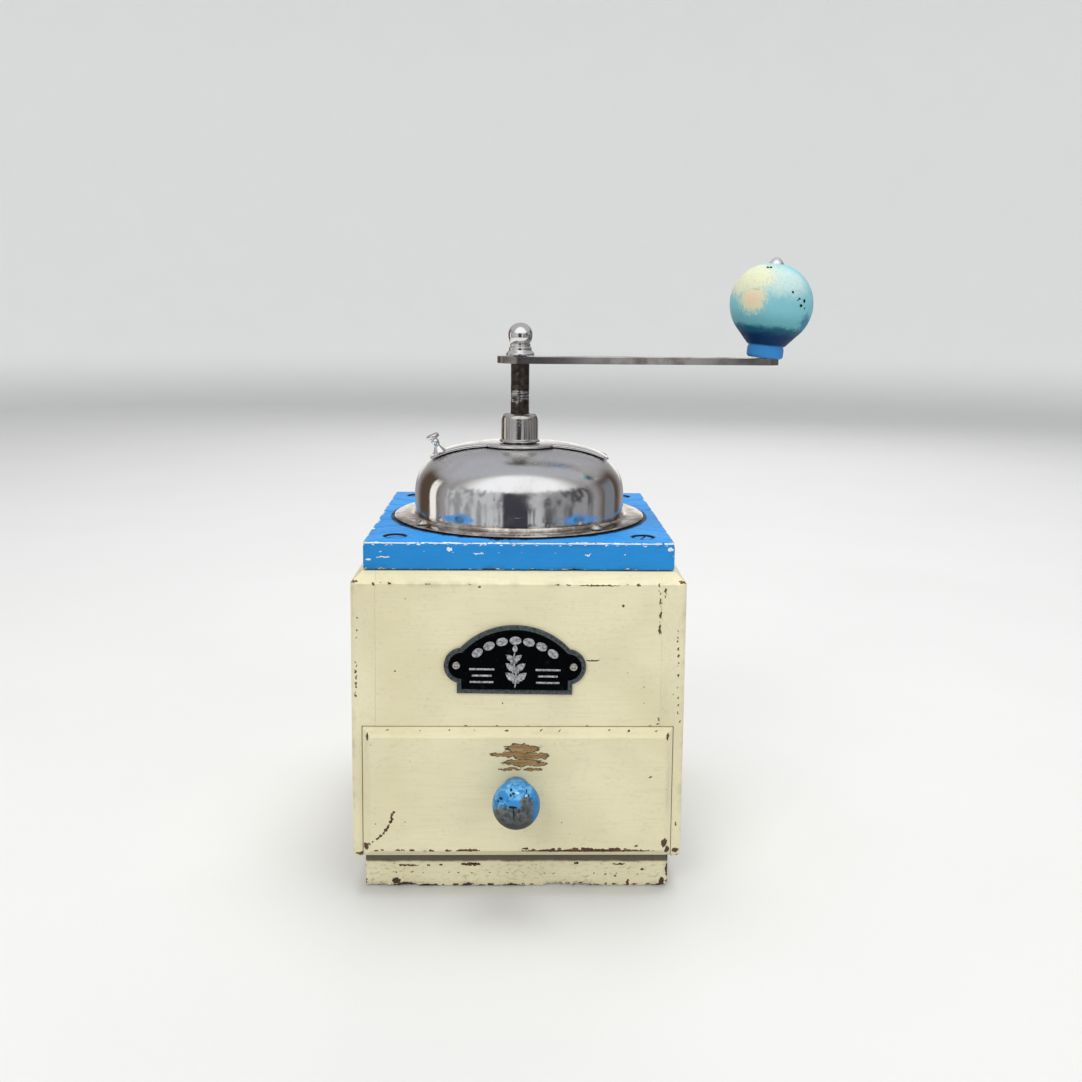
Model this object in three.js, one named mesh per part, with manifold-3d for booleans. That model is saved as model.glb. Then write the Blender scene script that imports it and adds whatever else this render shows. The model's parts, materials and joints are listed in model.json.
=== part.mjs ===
// Hand crank coffee mill: wooden case with a drawer, domed hopper with a turning lid, crank and burrs.
// Millimetres, +Z up, front of the mill towards -Y, crank arm towards +X.
// The origin is the centre of the plinth's underside.

import * as THREE from "three";
import { mergeVertices } from "three/addons/utils/BufferGeometryUtils.js";
import Module from "manifold-3d";

const wasm = await Module();
wasm.setup();

// ---------------------------------------------------------------- driving dimensions

const GAP = 0.3; // between pieces that touch on the real mill

// Wooden case. Heights are above the plinth's underside, and half widths are from the centre line.
const PLINTH = { half: 59.5, top: 14.7, chamfer: 0.8 };
const CASE = { half: 64, wall: 9.5, bottom: PLINTH.top + GAP, top: 127, chamfer: 4.2, edgeRadius: 2.5 };
const CASE_INSIDE = CASE.half - CASE.wall;
const PLATE = { half: 59.5, bottom: CASE.top + GAP, top: 138.2, chamfer: 0.8 };
const GUIDE = { width: 4.7, bottom: 61, height: 5 };
const POST = { side: 11.7, bottom: 100 };

// Drawer. Its front board stands proud of the case and sits back into rebates in the side panels.
const DRAWER = {
  halfWidth: 59.5,
  bottom: 15.3,
  top: 66.9,
  proud: 3.2,
  recess: 5.2,
  chamfer: 3.2,
  boardGap: 0.4,
  sideTop: 60,
  sideThickness: 5,
  sideOuter: 53.6,
  backEnd: 50,
  floorBottom: 16,
  floorThickness: 3,
};
const DRAWER_FACE = -CASE.half - DRAWER.proud;
const DRAWER_BOARD_BACK = -CASE.half + DRAWER.recess;
const DRAWER_INSIDE = DRAWER.sideOuter - DRAWER.sideThickness;
const DRAWER_KNOB = {
  offset: -0.6,
  height: 43.5,
  radius: 8.9,
  reach: 13.4,
  neckRadius: 4.8,
  footRadius: 5.2,
  screwDepth: 8,
};

// Name plate on the front panel, nailed on a little off centre and out of level.
const NAME_PLATE = {
  offset: -1.5,
  bottom: 80.4,
  tilt: 0.7,
  thickness: 1,
  footHalf: 22,
  earX: 20.2,
  earHeight: 10.8,
  earRadius: 6.9,
  archHalf: 20.9,
  height: 26.8,
  nailX: 22.3,
  nailHeight: 11.2,
};
const PLATE_NAIL = { radius: 0.8, headRadius: 1.5, length: 7 };

// Hopper dome of superellipse section, its filling mouth at the back, and the lid that turns on it.
const DOME = {
  sheet: 0.8,
  flangeRadius: 53.5,
  bottom: PLATE.top + GAP,
  radius: 44.85,
  fillet: 1.8,
  wallTop: 145,
  height: 23.6,
  exponent: 3,
  neckHole: 7.4,
};
const MOUTH = { inner: 15.8, outer: 33.5, front: 2.2 };
const LID = { gap: 0.35, sheet: 0.8, radius: 38, hubRadius: 16.5, front: -9, hole: 7.6 };
const LID_KNOB = { distance: 34.5, angle: -166.5, shankRadius: 1.1, shankLength: 1 };

// Spindle, its bearings and the crank.
const SHAFT = { radius: 3.95, bore: 4.3, bottom: 93.4, top: 203.4, point: 2.5 };
const COLLAR = {
  radius: 7.95,
  footRadius: 8.8,
  neckRadius: 6.8,
  bottom: 160.5,
  foot: 170.1,
  top: 182.3,
  shoulder: 2.6,
};
const COLLAR_NUT = { radius: 10, bottom: 164.4, top: 167.4 };
const ARM = {
  bottom: 203.7,
  thickness: 2.9,
  reach: 104.5,
  hubRadius: 10,
  tipRadius: 6.1,
  bevel: 0.5,
  squareHalf: 2.6,
};
const SPIGOT = { radius: 2.5, top: 213 };
const FINIAL = { ballRadius: 5.35, ballHeight: 8.5, flangeRadius: 6.2, neckRadius: 4.5 };
const KNOB = {
  lean: 5.7,
  radius: 17.5,
  centre: 23.1,
  bottom: 0.1,
  recess: 1,
  recessRadius: 6.6,
  neckRadius: 7.7,
  neckTop: 5.2,
  top: 39.9,
};
const PIN = {
  radius: 2.2,
  headRadius: 3.1,
  headHeight: 2.8,
  rivetRadius: 3,
  rivetHeight: 0.8,
  rivetInset: 0.2,
};

// Grinding gear, hung in the top plate.
const HOUSING = {
  bottom: 92,
  top: 138.1,
  flangeRadius: 39.9,
  flangeThickness: 2.5,
  neckRadius: 29.7,
  waistRadius: 23.2,
  waistBottom: 100,
  waistTop: 112,
  footRadius: 26,
  footTop: 97.5,
  lip: 2,
  socketRadius: 19.6,
  socketTop: 119.5,
};
const OUTER_BURR = { radius: 19.3, bottom: 94, top: 117, bottomBore: 17.2, topBore: 11.5, slots: 18 };
const INNER_BURR = {
  bottom: 95,
  shoulder: 117,
  top: 122.5,
  bottomRadius: 16.2,
  topRadius: 8.2,
  neckRadius: 6.8,
  flutes: 12,
  fineTeeth: 16,
};
const DRIVE_PIN = { radius: 1.2, half: 6.4, height: 119.6 };
const BRIDGE = {
  half: 38.5,
  width: 10,
  bottom: 138.4,
  top: 142,
  bossRadius: 8.3,
  bossBottom: 134,
  bossTop: 146,
};
const SPRING = { radius: 6, wireRadius: 0.6, bottom: 123.4, top: 133.1, turns: 5 };
const YOKE = { half: 27, width: 12, bottom: 87.7, top: 91.7, bossRadius: 6.5, bossBottom: 83.2 };
const SETTING = {
  radius: 3,
  bore: 3.3,
  top: 91.9,
  wheelBottom: 71,
  wheelTop: 75,
  wheelRadius: 8,
  ridges: 20,
};
const LOCK_NUT = { radius: 6.5, bottom: 78.9, top: 82.9 };
const THRUST_PAD = { radius: 3, bottom: 92.2, top: 93.1 };

// Fasteners, and where they go.
const WOOD_SCREW = { shankRadius: 1.6, headRadius: 4, headHeight: 2.4, length: 34 };
const DOME_SCREW = { shankRadius: 1.3, headRadius: 2.3, headHeight: 1.5, length: 9 };
const HOUSING_SCREW = { shankRadius: 1.6, headRadius: 3.2, headHeight: 2, length: 9 };
const YOKE_SCREW = { shankRadius: 1.5, headRadius: 3, headHeight: 1.8, length: 9 };
const KNOB_SCREW = { shankRadius: 1.5, headRadius: 3, headHeight: 1.8 };
const BASE_NAIL = { radius: 1.2, headRadius: 2.2, sunk: 1.4, headThickness: 0.9, top: 32 };

const ROUND_STEPS = 36; // facets round a large turned piece
const SMALL_STEPS = 12; // facets round a screw or a pin

const radians = THREE.MathUtils.degToRad;
const onCircle = (radius, degrees) => {
  const angle = radians(degrees);
  return [radius * Math.cos(angle), radius * Math.sin(angle)];
};
const corners = [[-1, -1], [1, -1], [1, 1], [-1, 1]];

const postCentre = CASE_INSIDE - GAP - POST.side / 2;
const plateScrewSpots = corners.map(([x, y]) => [x * postCentre, y * postCentre]);
const baseNailSpots = corners.map(([x, y]) => [x * 57, y * 42]);
const domeScrewSpots = [218, 308, 38, 128].map((degrees) => onCircle(50, degrees));
const housingScrewSpots = [0, 90, 180, 270].map((degrees) => onCircle(35, degrees));
const yokeScrewX = (HOUSING.socketRadius + HOUSING.footRadius) / 2;
const armTop = ARM.bottom + ARM.thickness;

// ---------------------------------------------------------------- materials

const look = (color, roughness, metalness) => new THREE.MeshStandardMaterial({ color, roughness, metalness });

const creamPaint = look("#e0d8b4", 0.45, 0);
const bluePaint = look("#3a80c8", 0.4, 0);
const aquaPaint = look("#82c8d7", 0.4, 0);
const knobPaint = look("#5096d2", 0.4, 0);
const bareWood = look("#b89262", 0.75, 0);
const chrome = look("#d8dadc", 0.12, 1);
const darkSteel = look("#4a4643", 0.4, 1);
const brightSteel = look("#b9bbbd", 0.3, 1);
const castIron = look("#3c3c3d", 0.7, 0.8);
const burrSteel = look("#77787a", 0.45, 1);
const springSteel = look("#8d8f92", 0.3, 1);
const enamel = look("#1c1e20", 0.35, 0.4);

// ---------------------------------------------------------------- geometry helpers

// A closed geometry as a manifold-3d solid.
function solidOf(geometry) {
  const bare = geometry.clone();
  bare.deleteAttribute("normal");
  bare.deleteAttribute("uv");
  const merged = mergeVertices(bare, 1e-3);
  return new wasm.Manifold(
    new wasm.Mesh({
      numProp: 3,
      vertProperties: merged.attributes.position.array,
      triVerts: new Uint32Array(merged.index.array),
    }),
  );
}

// A manifold-3d solid as a flat-shaded geometry.
function geometryOf(solid) {
  const { vertProperties, triVerts } = solid.getMesh();
  const indexed = new THREE.BufferGeometry();
  indexed.setAttribute("position", new THREE.BufferAttribute(vertProperties, 3));
  indexed.setIndex(new THREE.BufferAttribute(triVerts, 1));
  const geometry = indexed.toNonIndexed();
  geometry.computeVertexNormals();
  return geometry;
}

const cut = (geometry, ...tools) =>
  geometryOf(tools.reduce((rest, tool) => rest.subtract(solidOf(tool)), solidOf(geometry)));

const join = (...geometries) => geometryOf(geometries.map(solidOf).reduce((sum, solid) => sum.add(solid)));

const common = (...geometries) =>
  geometryOf(geometries.map(solidOf).reduce((shared, solid) => shared.intersect(solid)));

// A box between its low and high corners.
function block([x0, y0, z0], [x1, y1, z1]) {
  const box = new THREE.BoxGeometry(x1 - x0, y1 - y0, z1 - z0);
  return box.translate((x0 + x1) / 2, (y0 + y1) / 2, (z0 + z1) / 2);
}

// A box on one side of the centre line, between two distances from it: side -1 is left, 1 is right.
function sideBlock(side, [near, y0, z0], [far, y1, z1]) {
  const [x0, x1] = side > 0 ? [near, far] : [-far, -near];
  return block([x0, y0, z0], [x1, y1, z1]);
}

// A profile of [radius, height] pairs turned about +Z. It goes up the outside.
function turned(profile, steps = ROUND_STEPS) {
  const points = profile.map(([radius, height]) => new THREE.Vector2(radius, height));
  return new THREE.LatheGeometry(points, steps).rotateX(Math.PI / 2);
}

// The same with four flat sides: a profile of [half width, height] pairs.
function squareTurned(profile) {
  const points = profile.map(([half, height]) => new THREE.Vector2(half * Math.SQRT2, height));
  return new THREE.LatheGeometry(points, 4, Math.PI / 4).rotateX(Math.PI / 2);
}

// A cylinder about +Z between two heights.
function rod(radius, bottom, top, steps = SMALL_STEPS) {
  return turned([[0, bottom], [radius, bottom], [radius, top], [0, top]], steps);
}

// Points [radius, height] on an arc about [0, height], between two angles in degrees.
function arc(height, radius, from, to, steps) {
  return Array.from({ length: steps + 1 }, (_, i) => {
    const angle = radians(from + ((to - from) * i) / steps);
    return [radius * Math.cos(angle), height + radius * Math.sin(angle)];
  });
}

// Height of a dome's surface at a distance from its axis.
function domeHeight(radius, height, distance) {
  const share = 1 - (distance / radius) ** DOME.exponent;
  return DOME.wallTop + height * share ** (1 / DOME.exponent);
}

// How far that surface's normal leans outwards there, in radians.
function domeLean(radius, height, distance) {
  const power = DOME.exponent - 1;
  const rise = domeHeight(radius, height, distance) - DOME.wallTop;
  const outward = distance ** power / radius ** DOME.exponent;
  const upward = rise ** power / height ** DOME.exponent;
  return Math.atan2(outward, upward);
}

// Points [radius, height] up that surface, from the wall to a neck.
function domeProfile(radius, height, neck, steps = 10) {
  const last = Math.acos((neck / radius) ** (DOME.exponent / 2));
  return Array.from({ length: steps + 1 }, (_, i) => {
    const t = (last * i) / steps;
    const out = Math.cos(t) ** (2 / DOME.exponent);
    const up = Math.sin(t) ** (2 / DOME.exponent);
    return [radius * out, DOME.wallTop + height * up];
  });
}

function polygon(points) {
  return new THREE.Shape(points.map(([x, y]) => new THREE.Vector2(x, y)));
}

function regularPolygon(sides, radiusOf) {
  return polygon(Array.from({ length: sides }, (_, i) => onCircle(radiusOf(i), (360 * i) / sides)));
}

// A shape in the XY plane given thickness between two heights.
function extruded(shape, bottom, top, curveSegments = 10) {
  const settings = { depth: top - bottom, bevelEnabled: false, curveSegments };
  return new THREE.ExtrudeGeometry(shape, settings).translate(0, 0, bottom);
}

// Turns a piece made along +Z to point along -Y, towards the front. Its +Y then points up.
const facingFront = (geometry) => geometry.rotateX(Math.PI / 2);

function mesh(name, geometry, material, [x, y, z] = [0, 0, 0]) {
  const piece = new THREE.Mesh(geometry, material);
  piece.name = name;
  piece.position.set(x, y, z);
  return piece;
}

// One mesh at each spot, named NAME_1, NAME_2 and so on.
function copies(name, geometry, material, spots, height = 0) {
  return spots.map(([x, y], i) => mesh(`${name}_${i + 1}`, geometry, material, [x, y, height]));
}

function groupOf(...pieces) {
  const group = new THREE.Group();
  group.add(...pieces);
  return group;
}

// ---------------------------------------------------------------- fasteners

// A slotted screw: a domed head on z = 0 and a shank hanging down.
function roundHeadScrew({ shankRadius, headRadius, headHeight }, length) {
  const body = turned(
    [
      [0, -length],
      [shankRadius, -length + shankRadius],
      [shankRadius, 0],
      [headRadius, 0],
      [headRadius, 0.35 * headHeight],
      [0.72 * headRadius, 0.85 * headHeight],
      [0, headHeight],
    ],
    SMALL_STEPS,
  );
  const slotHalf = 0.35;
  const slotFloor = 0.45 * headHeight;
  return cut(body, block([-headRadius, -slotHalf, slotFloor], [headRadius, slotHalf, headHeight + 1]));
}

// A slotted countersunk screw: a flat head at z = 0 and a shank hanging down.
function countersunkScrew({ shankRadius, headRadius, headHeight, length }) {
  const rim = 0.3;
  const body = turned(
    [
      [0, -length],
      [shankRadius, -length + 2 * shankRadius],
      [shankRadius, -headHeight],
      [headRadius, -rim],
      [headRadius, 0],
      [0, 0],
    ],
    SMALL_STEPS,
  );
  const slot = { half: 0.5, depth: 0.9 };
  return cut(body, block([-headRadius - 1, -slot.half, -slot.depth], [headRadius + 1, slot.half, 1]));
}

// The hole for that screw, down from z = 0.
function countersink({ shankRadius, headRadius, headHeight, length }) {
  return turned(
    [
      [0, -length - GAP],
      [shankRadius + GAP, -length - GAP],
      [shankRadius + GAP, -headHeight - GAP],
      [headRadius + GAP, -GAP],
      [headRadius + GAP, 1],
      [0, 1],
    ],
    SMALL_STEPS,
  );
}

// A nail driven up from under the plinth, its head sunk a little.
function baseNail() {
  const { radius, headRadius, sunk, headThickness, top } = BASE_NAIL;
  return turned(
    [
      [0, sunk - headThickness],
      [headRadius, sunk - headThickness],
      [headRadius, sunk],
      [radius, sunk],
      [radius, top - 3 * radius],
      [0, top],
    ],
    SMALL_STEPS,
  );
}

// A dome-headed nail pointing back along +Y, its head standing on y = 0.
function plateNail() {
  const { radius, headRadius, length } = PLATE_NAIL;
  const profile = [
    [0, -length],
    [radius, -length + 2 * radius],
    [radius, 0],
    [headRadius, 0],
    [0.75 * headRadius, 0.5 * headRadius],
    [0, 0.7 * headRadius],
  ];
  return facingFront(turned(profile, SMALL_STEPS));
}

// ---------------------------------------------------------------- case

// The outside of the case: square, chamfered round its top, with eased upright corners.
function caseEnvelope() {
  const { half, bottom, top, chamfer, edgeRadius } = CASE;
  const chamfered = squareTurned([
    [0, bottom],
    [half, bottom],
    [half, top - chamfer],
    [half - chamfer, top],
    [0, top],
  ]);
  const plan = new THREE.Shape();
  corners.forEach(([x, y], i) => {
    const centre = half - edgeRadius;
    const start = Math.PI + (i * Math.PI) / 2;
    plan.absarc(x * centre, y * centre, edgeRadius, start, start + Math.PI / 2);
  });
  return common(chamfered, extruded(plan, bottom - 1, top + 1, 4));
}

// A side board, with a rebate in its front edge for the end of the drawer front.
function sidePanel(side) {
  const { half, bottom, top } = CASE;
  const board = sideBlock(side, [CASE_INSIDE, -half - 1, bottom - 1], [half + 1, half + 1, top + 1]);
  const rebate = sideBlock(
    side,
    [CASE_INSIDE - 1, -half - 1, bottom - 1],
    [DRAWER.halfWidth + DRAWER.boardGap, DRAWER_BOARD_BACK + GAP, DRAWER.top + DRAWER.boardGap],
  );
  const nailHoles = baseNailSpots
    .filter(([x]) => x * side > 0)
    .map(([x, y]) => rod(BASE_NAIL.radius + GAP, bottom - 1, BASE_NAIL.top + GAP).translate(x, y, 0));
  return cut(common(caseEnvelope(), board), rebate, ...nailHoles);
}

// The board above the drawer, with two holes for the name plate's nails.
function frontPanel() {
  const { half, top } = CASE;
  const reach = CASE_INSIDE - GAP;
  const board = block([-reach, -half - 1, DRAWER.top + DRAWER.boardGap], [reach, -CASE_INSIDE, top + 1]);
  const nailHole = facingFront(rod(PLATE_NAIL.radius + GAP, -PLATE_NAIL.length - GAP, 1));
  const nailHoles = [-1, 1].map((side) => {
    const hole = nailHole.clone().translate(side * NAME_PLATE.nailX, 0, NAME_PLATE.nailHeight);
    return hole.rotateY(radians(NAME_PLATE.tilt)).translate(NAME_PLATE.offset, -half, NAME_PLATE.bottom);
  });
  return cut(common(caseEnvelope(), board), ...nailHoles);
}

function backPanel() {
  const { half, bottom, top } = CASE;
  const reach = CASE_INSIDE - GAP;
  return common(caseEnvelope(), block([-reach, CASE_INSIDE, bottom - 1], [reach, half + 1, top + 1]));
}

function basePlinth() {
  const { half, top, chamfer } = PLINTH;
  const board = squareTurned([[0, 0], [half - chamfer, 0], [half, chamfer], [half, top], [0, top]]);
  const headHole = rod(BASE_NAIL.headRadius + GAP, -1, BASE_NAIL.sunk + GAP);
  const hole = join(headHole, rod(BASE_NAIL.radius + GAP, 0, top + 1));
  return cut(board, ...baseNailSpots.map(([x, y]) => hole.clone().translate(x, y, 0)));
}

// A post glued in a top corner of the case, about its own centre line, drilled for a top plate screw.
function cornerPost() {
  const half = POST.side / 2;
  const post = block([-half, -half, POST.bottom], [half, half, CASE.top]);
  return cut(post, rod(WOOD_SCREW.shankRadius + GAP, PLATE.top - WOOD_SCREW.length - GAP, CASE.top + 1));
}

// A strip above a drawer side, which keeps the open drawer level.
function drawerGuide(side) {
  const { width, bottom, height } = GUIDE;
  const outer = CASE_INSIDE - GAP;
  return sideBlock(side, [outer - width, -outer, bottom], [outer, outer, bottom + height]);
}

function topPlate() {
  const { half, bottom, top, chamfer } = PLATE;
  const board = squareTurned([
    [0, bottom],
    [half - chamfer, bottom],
    [half, bottom + chamfer],
    [half, top - chamfer],
    [half - chamfer, top],
    [0, top],
  ]);
  const seatBottom = HOUSING.top - HOUSING.flangeThickness - GAP;
  const housingSeat = rod(HOUSING.flangeRadius + GAP, seatBottom, top + 1, ROUND_STEPS);
  const housingHole = rod(HOUSING.neckRadius + GAP, bottom - 1, top + 1, ROUND_STEPS);
  const plateScrewHoles = plateScrewSpots.map(([x, y]) => countersink(WOOD_SCREW).translate(x, y, top));
  const domeScrewHoles = domeScrewSpots.map(([x, y]) =>
    rod(DOME_SCREW.shankRadius + GAP, top - DOME_SCREW.length, top + 1).translate(x, y, 0),
  );
  const housingScrewHoles = housingScrewSpots.map(([x, y]) =>
    rod(HOUSING_SCREW.shankRadius + GAP, bottom + 1, top).translate(x, y, 0),
  );
  return cut(board, housingSeat, housingHole, ...plateScrewHoles, ...domeScrewHoles, ...housingScrewHoles);
}

function caseGroup() {
  return groupOf(
    mesh("base_plinth", basePlinth(), creamPaint),
    mesh("side_panel_left", sidePanel(-1), creamPaint),
    mesh("side_panel_right", sidePanel(1), creamPaint),
    mesh("front_panel", frontPanel(), creamPaint),
    mesh("back_panel", backPanel(), creamPaint),
    mesh("drawer_guide_left", drawerGuide(-1), bareWood),
    mesh("drawer_guide_right", drawerGuide(1), bareWood),
    mesh("top_plate", topPlate(), bluePaint),
    ...copies("corner_post", cornerPost(), bareWood, plateScrewSpots),
    ...copies("top_plate_screw", countersunkScrew(WOOD_SCREW), bluePaint, plateScrewSpots, PLATE.top),
    ...copies("base_nail", baseNail(), brightSteel, baseNailSpots),
  );
}

// ---------------------------------------------------------------- name plate

// The outline stands on y = 0: a straight foot, a round ear at each side and an arched top.
function namePlateShape() {
  const { footHalf, earX, earHeight, earRadius, archHalf, height } = NAME_PLATE;
  const earStart = Math.acos((footHalf - earX) / earRadius);
  const earEnd = Math.acos((archHalf - earX) / earRadius);
  const rise = height - earHeight - earRadius * Math.sin(earEnd);
  const archRadius = (archHalf ** 2 + rise ** 2) / (2 * rise);
  const archAngle = Math.asin(archHalf / archRadius);
  const shape = new THREE.Shape();
  shape.moveTo(-footHalf, 0);
  shape.lineTo(footHalf, 0);
  shape.absarc(earX, earHeight, earRadius, -earStart, earEnd);
  shape.absarc(0, height - archRadius, archRadius, Math.PI / 2 - archAngle, Math.PI / 2 + archAngle);
  shape.absarc(-earX, earHeight, earRadius, Math.PI - earEnd, Math.PI + earStart);
  return shape;
}

function namePlate() {
  const { thickness, nailX, nailHeight } = NAME_PLATE;
  const holes = [-1, 1].map((side) =>
    rod(PLATE_NAIL.radius + GAP, -1, thickness + 1).translate(side * nailX, nailHeight, 0),
  );
  return facingFront(cut(extruded(namePlateShape(), 0, thickness), ...holes));
}

function namePlateGroup() {
  const { offset, bottom, tilt, thickness, nailX, nailHeight } = NAME_PLATE;
  const headFace = -thickness - GAP;
  const group = groupOf(
    mesh("name_plate", namePlate(), enamel),
    mesh("name_plate_nail_left", plateNail(), brightSteel, [-nailX, headFace, nailHeight]),
    mesh("name_plate_nail_right", plateNail(), brightSteel, [nailX, headFace, nailHeight]),
  );
  group.position.set(offset, -CASE.half - GAP, bottom);
  group.rotation.y = radians(tilt);
  return group;
}

// ---------------------------------------------------------------- drawer

// The front board, chamfered at 45 degrees all round its outer face.
function drawerFront() {
  const { halfWidth, bottom, top, chamfer } = DRAWER;
  const thickness = DRAWER_BOARD_BACK - DRAWER_FACE;
  const inset = halfWidth - chamfer;
  const face = polygon([
    [-inset, bottom + chamfer],
    [inset, bottom + chamfer],
    [inset, top - chamfer],
    [-inset, top - chamfer],
  ]);
  const bevelled = new THREE.ExtrudeGeometry(face, {
    depth: thickness - chamfer,
    bevelThickness: chamfer,
    bevelSize: chamfer,
    bevelSegments: 1,
  });
  const inFrontOfBack = block([-halfWidth - 1, bottom - 1, 0], [halfWidth + 1, top + 1, thickness + 1]);
  const hole = rod(KNOB_SCREW.shankRadius + GAP, -1, thickness + 1);
  hole.translate(DRAWER_KNOB.offset, DRAWER_KNOB.height, 0);
  return facingFront(cut(common(bevelled, inFrontOfBack), hole)).translate(0, DRAWER_BOARD_BACK, 0);
}

function drawerSide(side) {
  const { sideOuter, bottom, sideTop, backEnd } = DRAWER;
  return sideBlock(side, [DRAWER_INSIDE, DRAWER_BOARD_BACK + GAP, bottom], [sideOuter, backEnd, sideTop]);
}

function drawerBack() {
  const { bottom, sideTop, sideThickness, backEnd } = DRAWER;
  const reach = DRAWER_INSIDE - GAP;
  return block([-reach, backEnd - sideThickness, bottom], [reach, backEnd, sideTop]);
}

function drawerBottom() {
  const { floorBottom, floorThickness, sideThickness, backEnd } = DRAWER;
  const reach = DRAWER_INSIDE - GAP;
  const backFace = backEnd - sideThickness - GAP;
  const floorTop = floorBottom + floorThickness;
  return block([-reach, DRAWER_BOARD_BACK + GAP, floorBottom], [reach, backFace, floorTop]);
}

// A turned ball on a short neck, standing on z = 0, with a blind hole for its screw.
function drawerKnob() {
  const { radius, reach, neckRadius, footRadius, screwDepth } = DRAWER_KNOB;
  const neckAngle = THREE.MathUtils.radToDeg(Math.acos(neckRadius / radius));
  const profile = [[0, 0], [footRadius, 0], [footRadius, 1], [neckRadius, 2.2]];
  const ball = turned([...profile, ...arc(reach, radius, -neckAngle, 90, 8)], 24);
  return cut(ball, rod(KNOB_SCREW.shankRadius + GAP, -1, screwDepth + GAP));
}

function drawerGroup() {
  const { offset, height, screwDepth } = DRAWER_KNOB;
  const boardThickness = DRAWER_BOARD_BACK - DRAWER_FACE;
  const screwLength = boardThickness + 2 * GAP + screwDepth;
  const screw = facingFront(roundHeadScrew(KNOB_SCREW, screwLength).rotateX(Math.PI));
  return groupOf(
    mesh("drawer_front", drawerFront(), creamPaint),
    mesh("drawer_side_left", drawerSide(-1), bareWood),
    mesh("drawer_side_right", drawerSide(1), bareWood),
    mesh("drawer_back", drawerBack(), bareWood),
    mesh("drawer_bottom", drawerBottom(), bareWood),
    mesh("drawer_knob", facingFront(drawerKnob()), knobPaint, [offset, DRAWER_FACE - GAP, height]),
    mesh("drawer_knob_screw", screw, brightSteel, [offset, DRAWER_BOARD_BACK + GAP, height]),
  );
}

// ---------------------------------------------------------------- hopper

// A pressed sheet: a flat flange, a fillet, an upright wall and a dome with a half-moon mouth at the back.
function domeShell() {
  const { sheet, flangeRadius, bottom, radius, fillet, height, neckHole } = DOME;
  const innerRadius = radius - sheet;
  const flangeTop = bottom + sheet;
  const shell = turned([
    [innerRadius, bottom],
    [flangeRadius, bottom],
    [flangeRadius, flangeTop],
    [radius + fillet, flangeTop],
    [radius + 0.3 * fillet, flangeTop + 0.3 * fillet],
    [radius, flangeTop + fillet],
    ...domeProfile(radius, height, neckHole),
    ...domeProfile(innerRadius, height - sheet, neckHole).reverse(),
    [innerRadius, bottom],
  ]);
  const screwHoles = domeScrewSpots.map(([x, y]) =>
    rod(DOME_SCREW.shankRadius + GAP, bottom - 1, flangeTop + 1).translate(x, y, 0),
  );
  return cut(shell, mouthCutter(), ...screwHoles);
}

// A half ring that stands through the back half of the dome.
function mouthCutter() {
  const { inner, outer, front } = MOUTH;
  const outerStart = Math.asin(front / outer);
  const innerStart = Math.asin(front / inner);
  const plan = new THREE.Shape();
  plan.absarc(0, 0, outer, outerStart, Math.PI - outerStart);
  plan.absarc(0, 0, inner, Math.PI - innerStart, innerStart, true);
  return extruded(plan, DOME.wallTop + 5, DOME.wallTop + 40, 24);
}

// The lid's plan: a half disc with a straight front, and a round hub that reaches in front of it.
function lidPlan() {
  const { radius, hubRadius, front } = LID;
  const rimAngle = Math.asin(front / radius);
  const hubAngle = Math.asin(front / hubRadius);
  const plan = new THREE.Shape();
  plan.absarc(0, 0, radius, rimAngle, Math.PI - rimAngle);
  plan.absarc(0, 0, hubRadius, Math.PI - hubAngle, 2 * Math.PI + hubAngle);
  return plan;
}

// The thumb knob's foot is on the lid's outer face, and its axis is that face's normal.
function lidKnobFrame() {
  const radius = DOME.radius + LID.gap + LID.sheet;
  const height = DOME.height + LID.gap + LID.sheet;
  const lean = domeLean(radius, height, LID_KNOB.distance);
  const foot = domeHeight(radius, height, LID_KNOB.distance);
  return {
    lean,
    x: LID_KNOB.distance + GAP * Math.sin(lean),
    z: foot + GAP * Math.cos(lean),
  };
}

function hopperLid() {
  const { gap, sheet, hole } = LID;
  const radius = DOME.radius + gap;
  const height = DOME.height + gap;
  const cap = turned([
    [radius, DOME.wallTop],
    ...domeProfile(radius + sheet, height + sheet, hole),
    ...domeProfile(radius, height, hole).reverse(),
  ]);
  const plan = extruded(lidPlan(), DOME.wallTop + 5, DOME.wallTop + 40, 24);
  const { lean, x, z } = lidKnobFrame();
  const knobHole = rod(LID_KNOB.shankRadius + GAP, -4, 4).rotateY(lean).translate(x, 0, z);
  return cut(common(cap, plan), knobHole.rotateZ(radians(LID_KNOB.angle)));
}

// A turned thumb knob: flared foot, waist, swell and flat cap, with a riveted shank below z = 0.
function lidKnob() {
  const { shankRadius, shankLength } = LID_KNOB;
  return turned(
    [
      [0, -shankLength],
      [shankRadius, -shankLength],
      [shankRadius, 0],
      [2.7, 0],
      [2.7, 0.5],
      [1.5, 2.2],
      [1, 3.4],
      [1.25, 4.6],
      [1.35, 5.6],
      [1.1, 6.6],
      [2.55, 7.2],
      [2.55, 8.2],
      [2.1, 8.6],
      [0, 8.6],
    ],
    SMALL_STEPS,
  );
}

function lidGroup() {
  const { lean, x, z } = lidKnobFrame();
  const knob = mesh("lid_knob", lidKnob(), chrome, [x, 0, z]);
  knob.rotation.y = lean;
  const turn = groupOf(knob);
  turn.rotation.z = radians(LID_KNOB.angle);
  return groupOf(mesh("hopper_lid", hopperLid(), chrome), turn);
}

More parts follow.
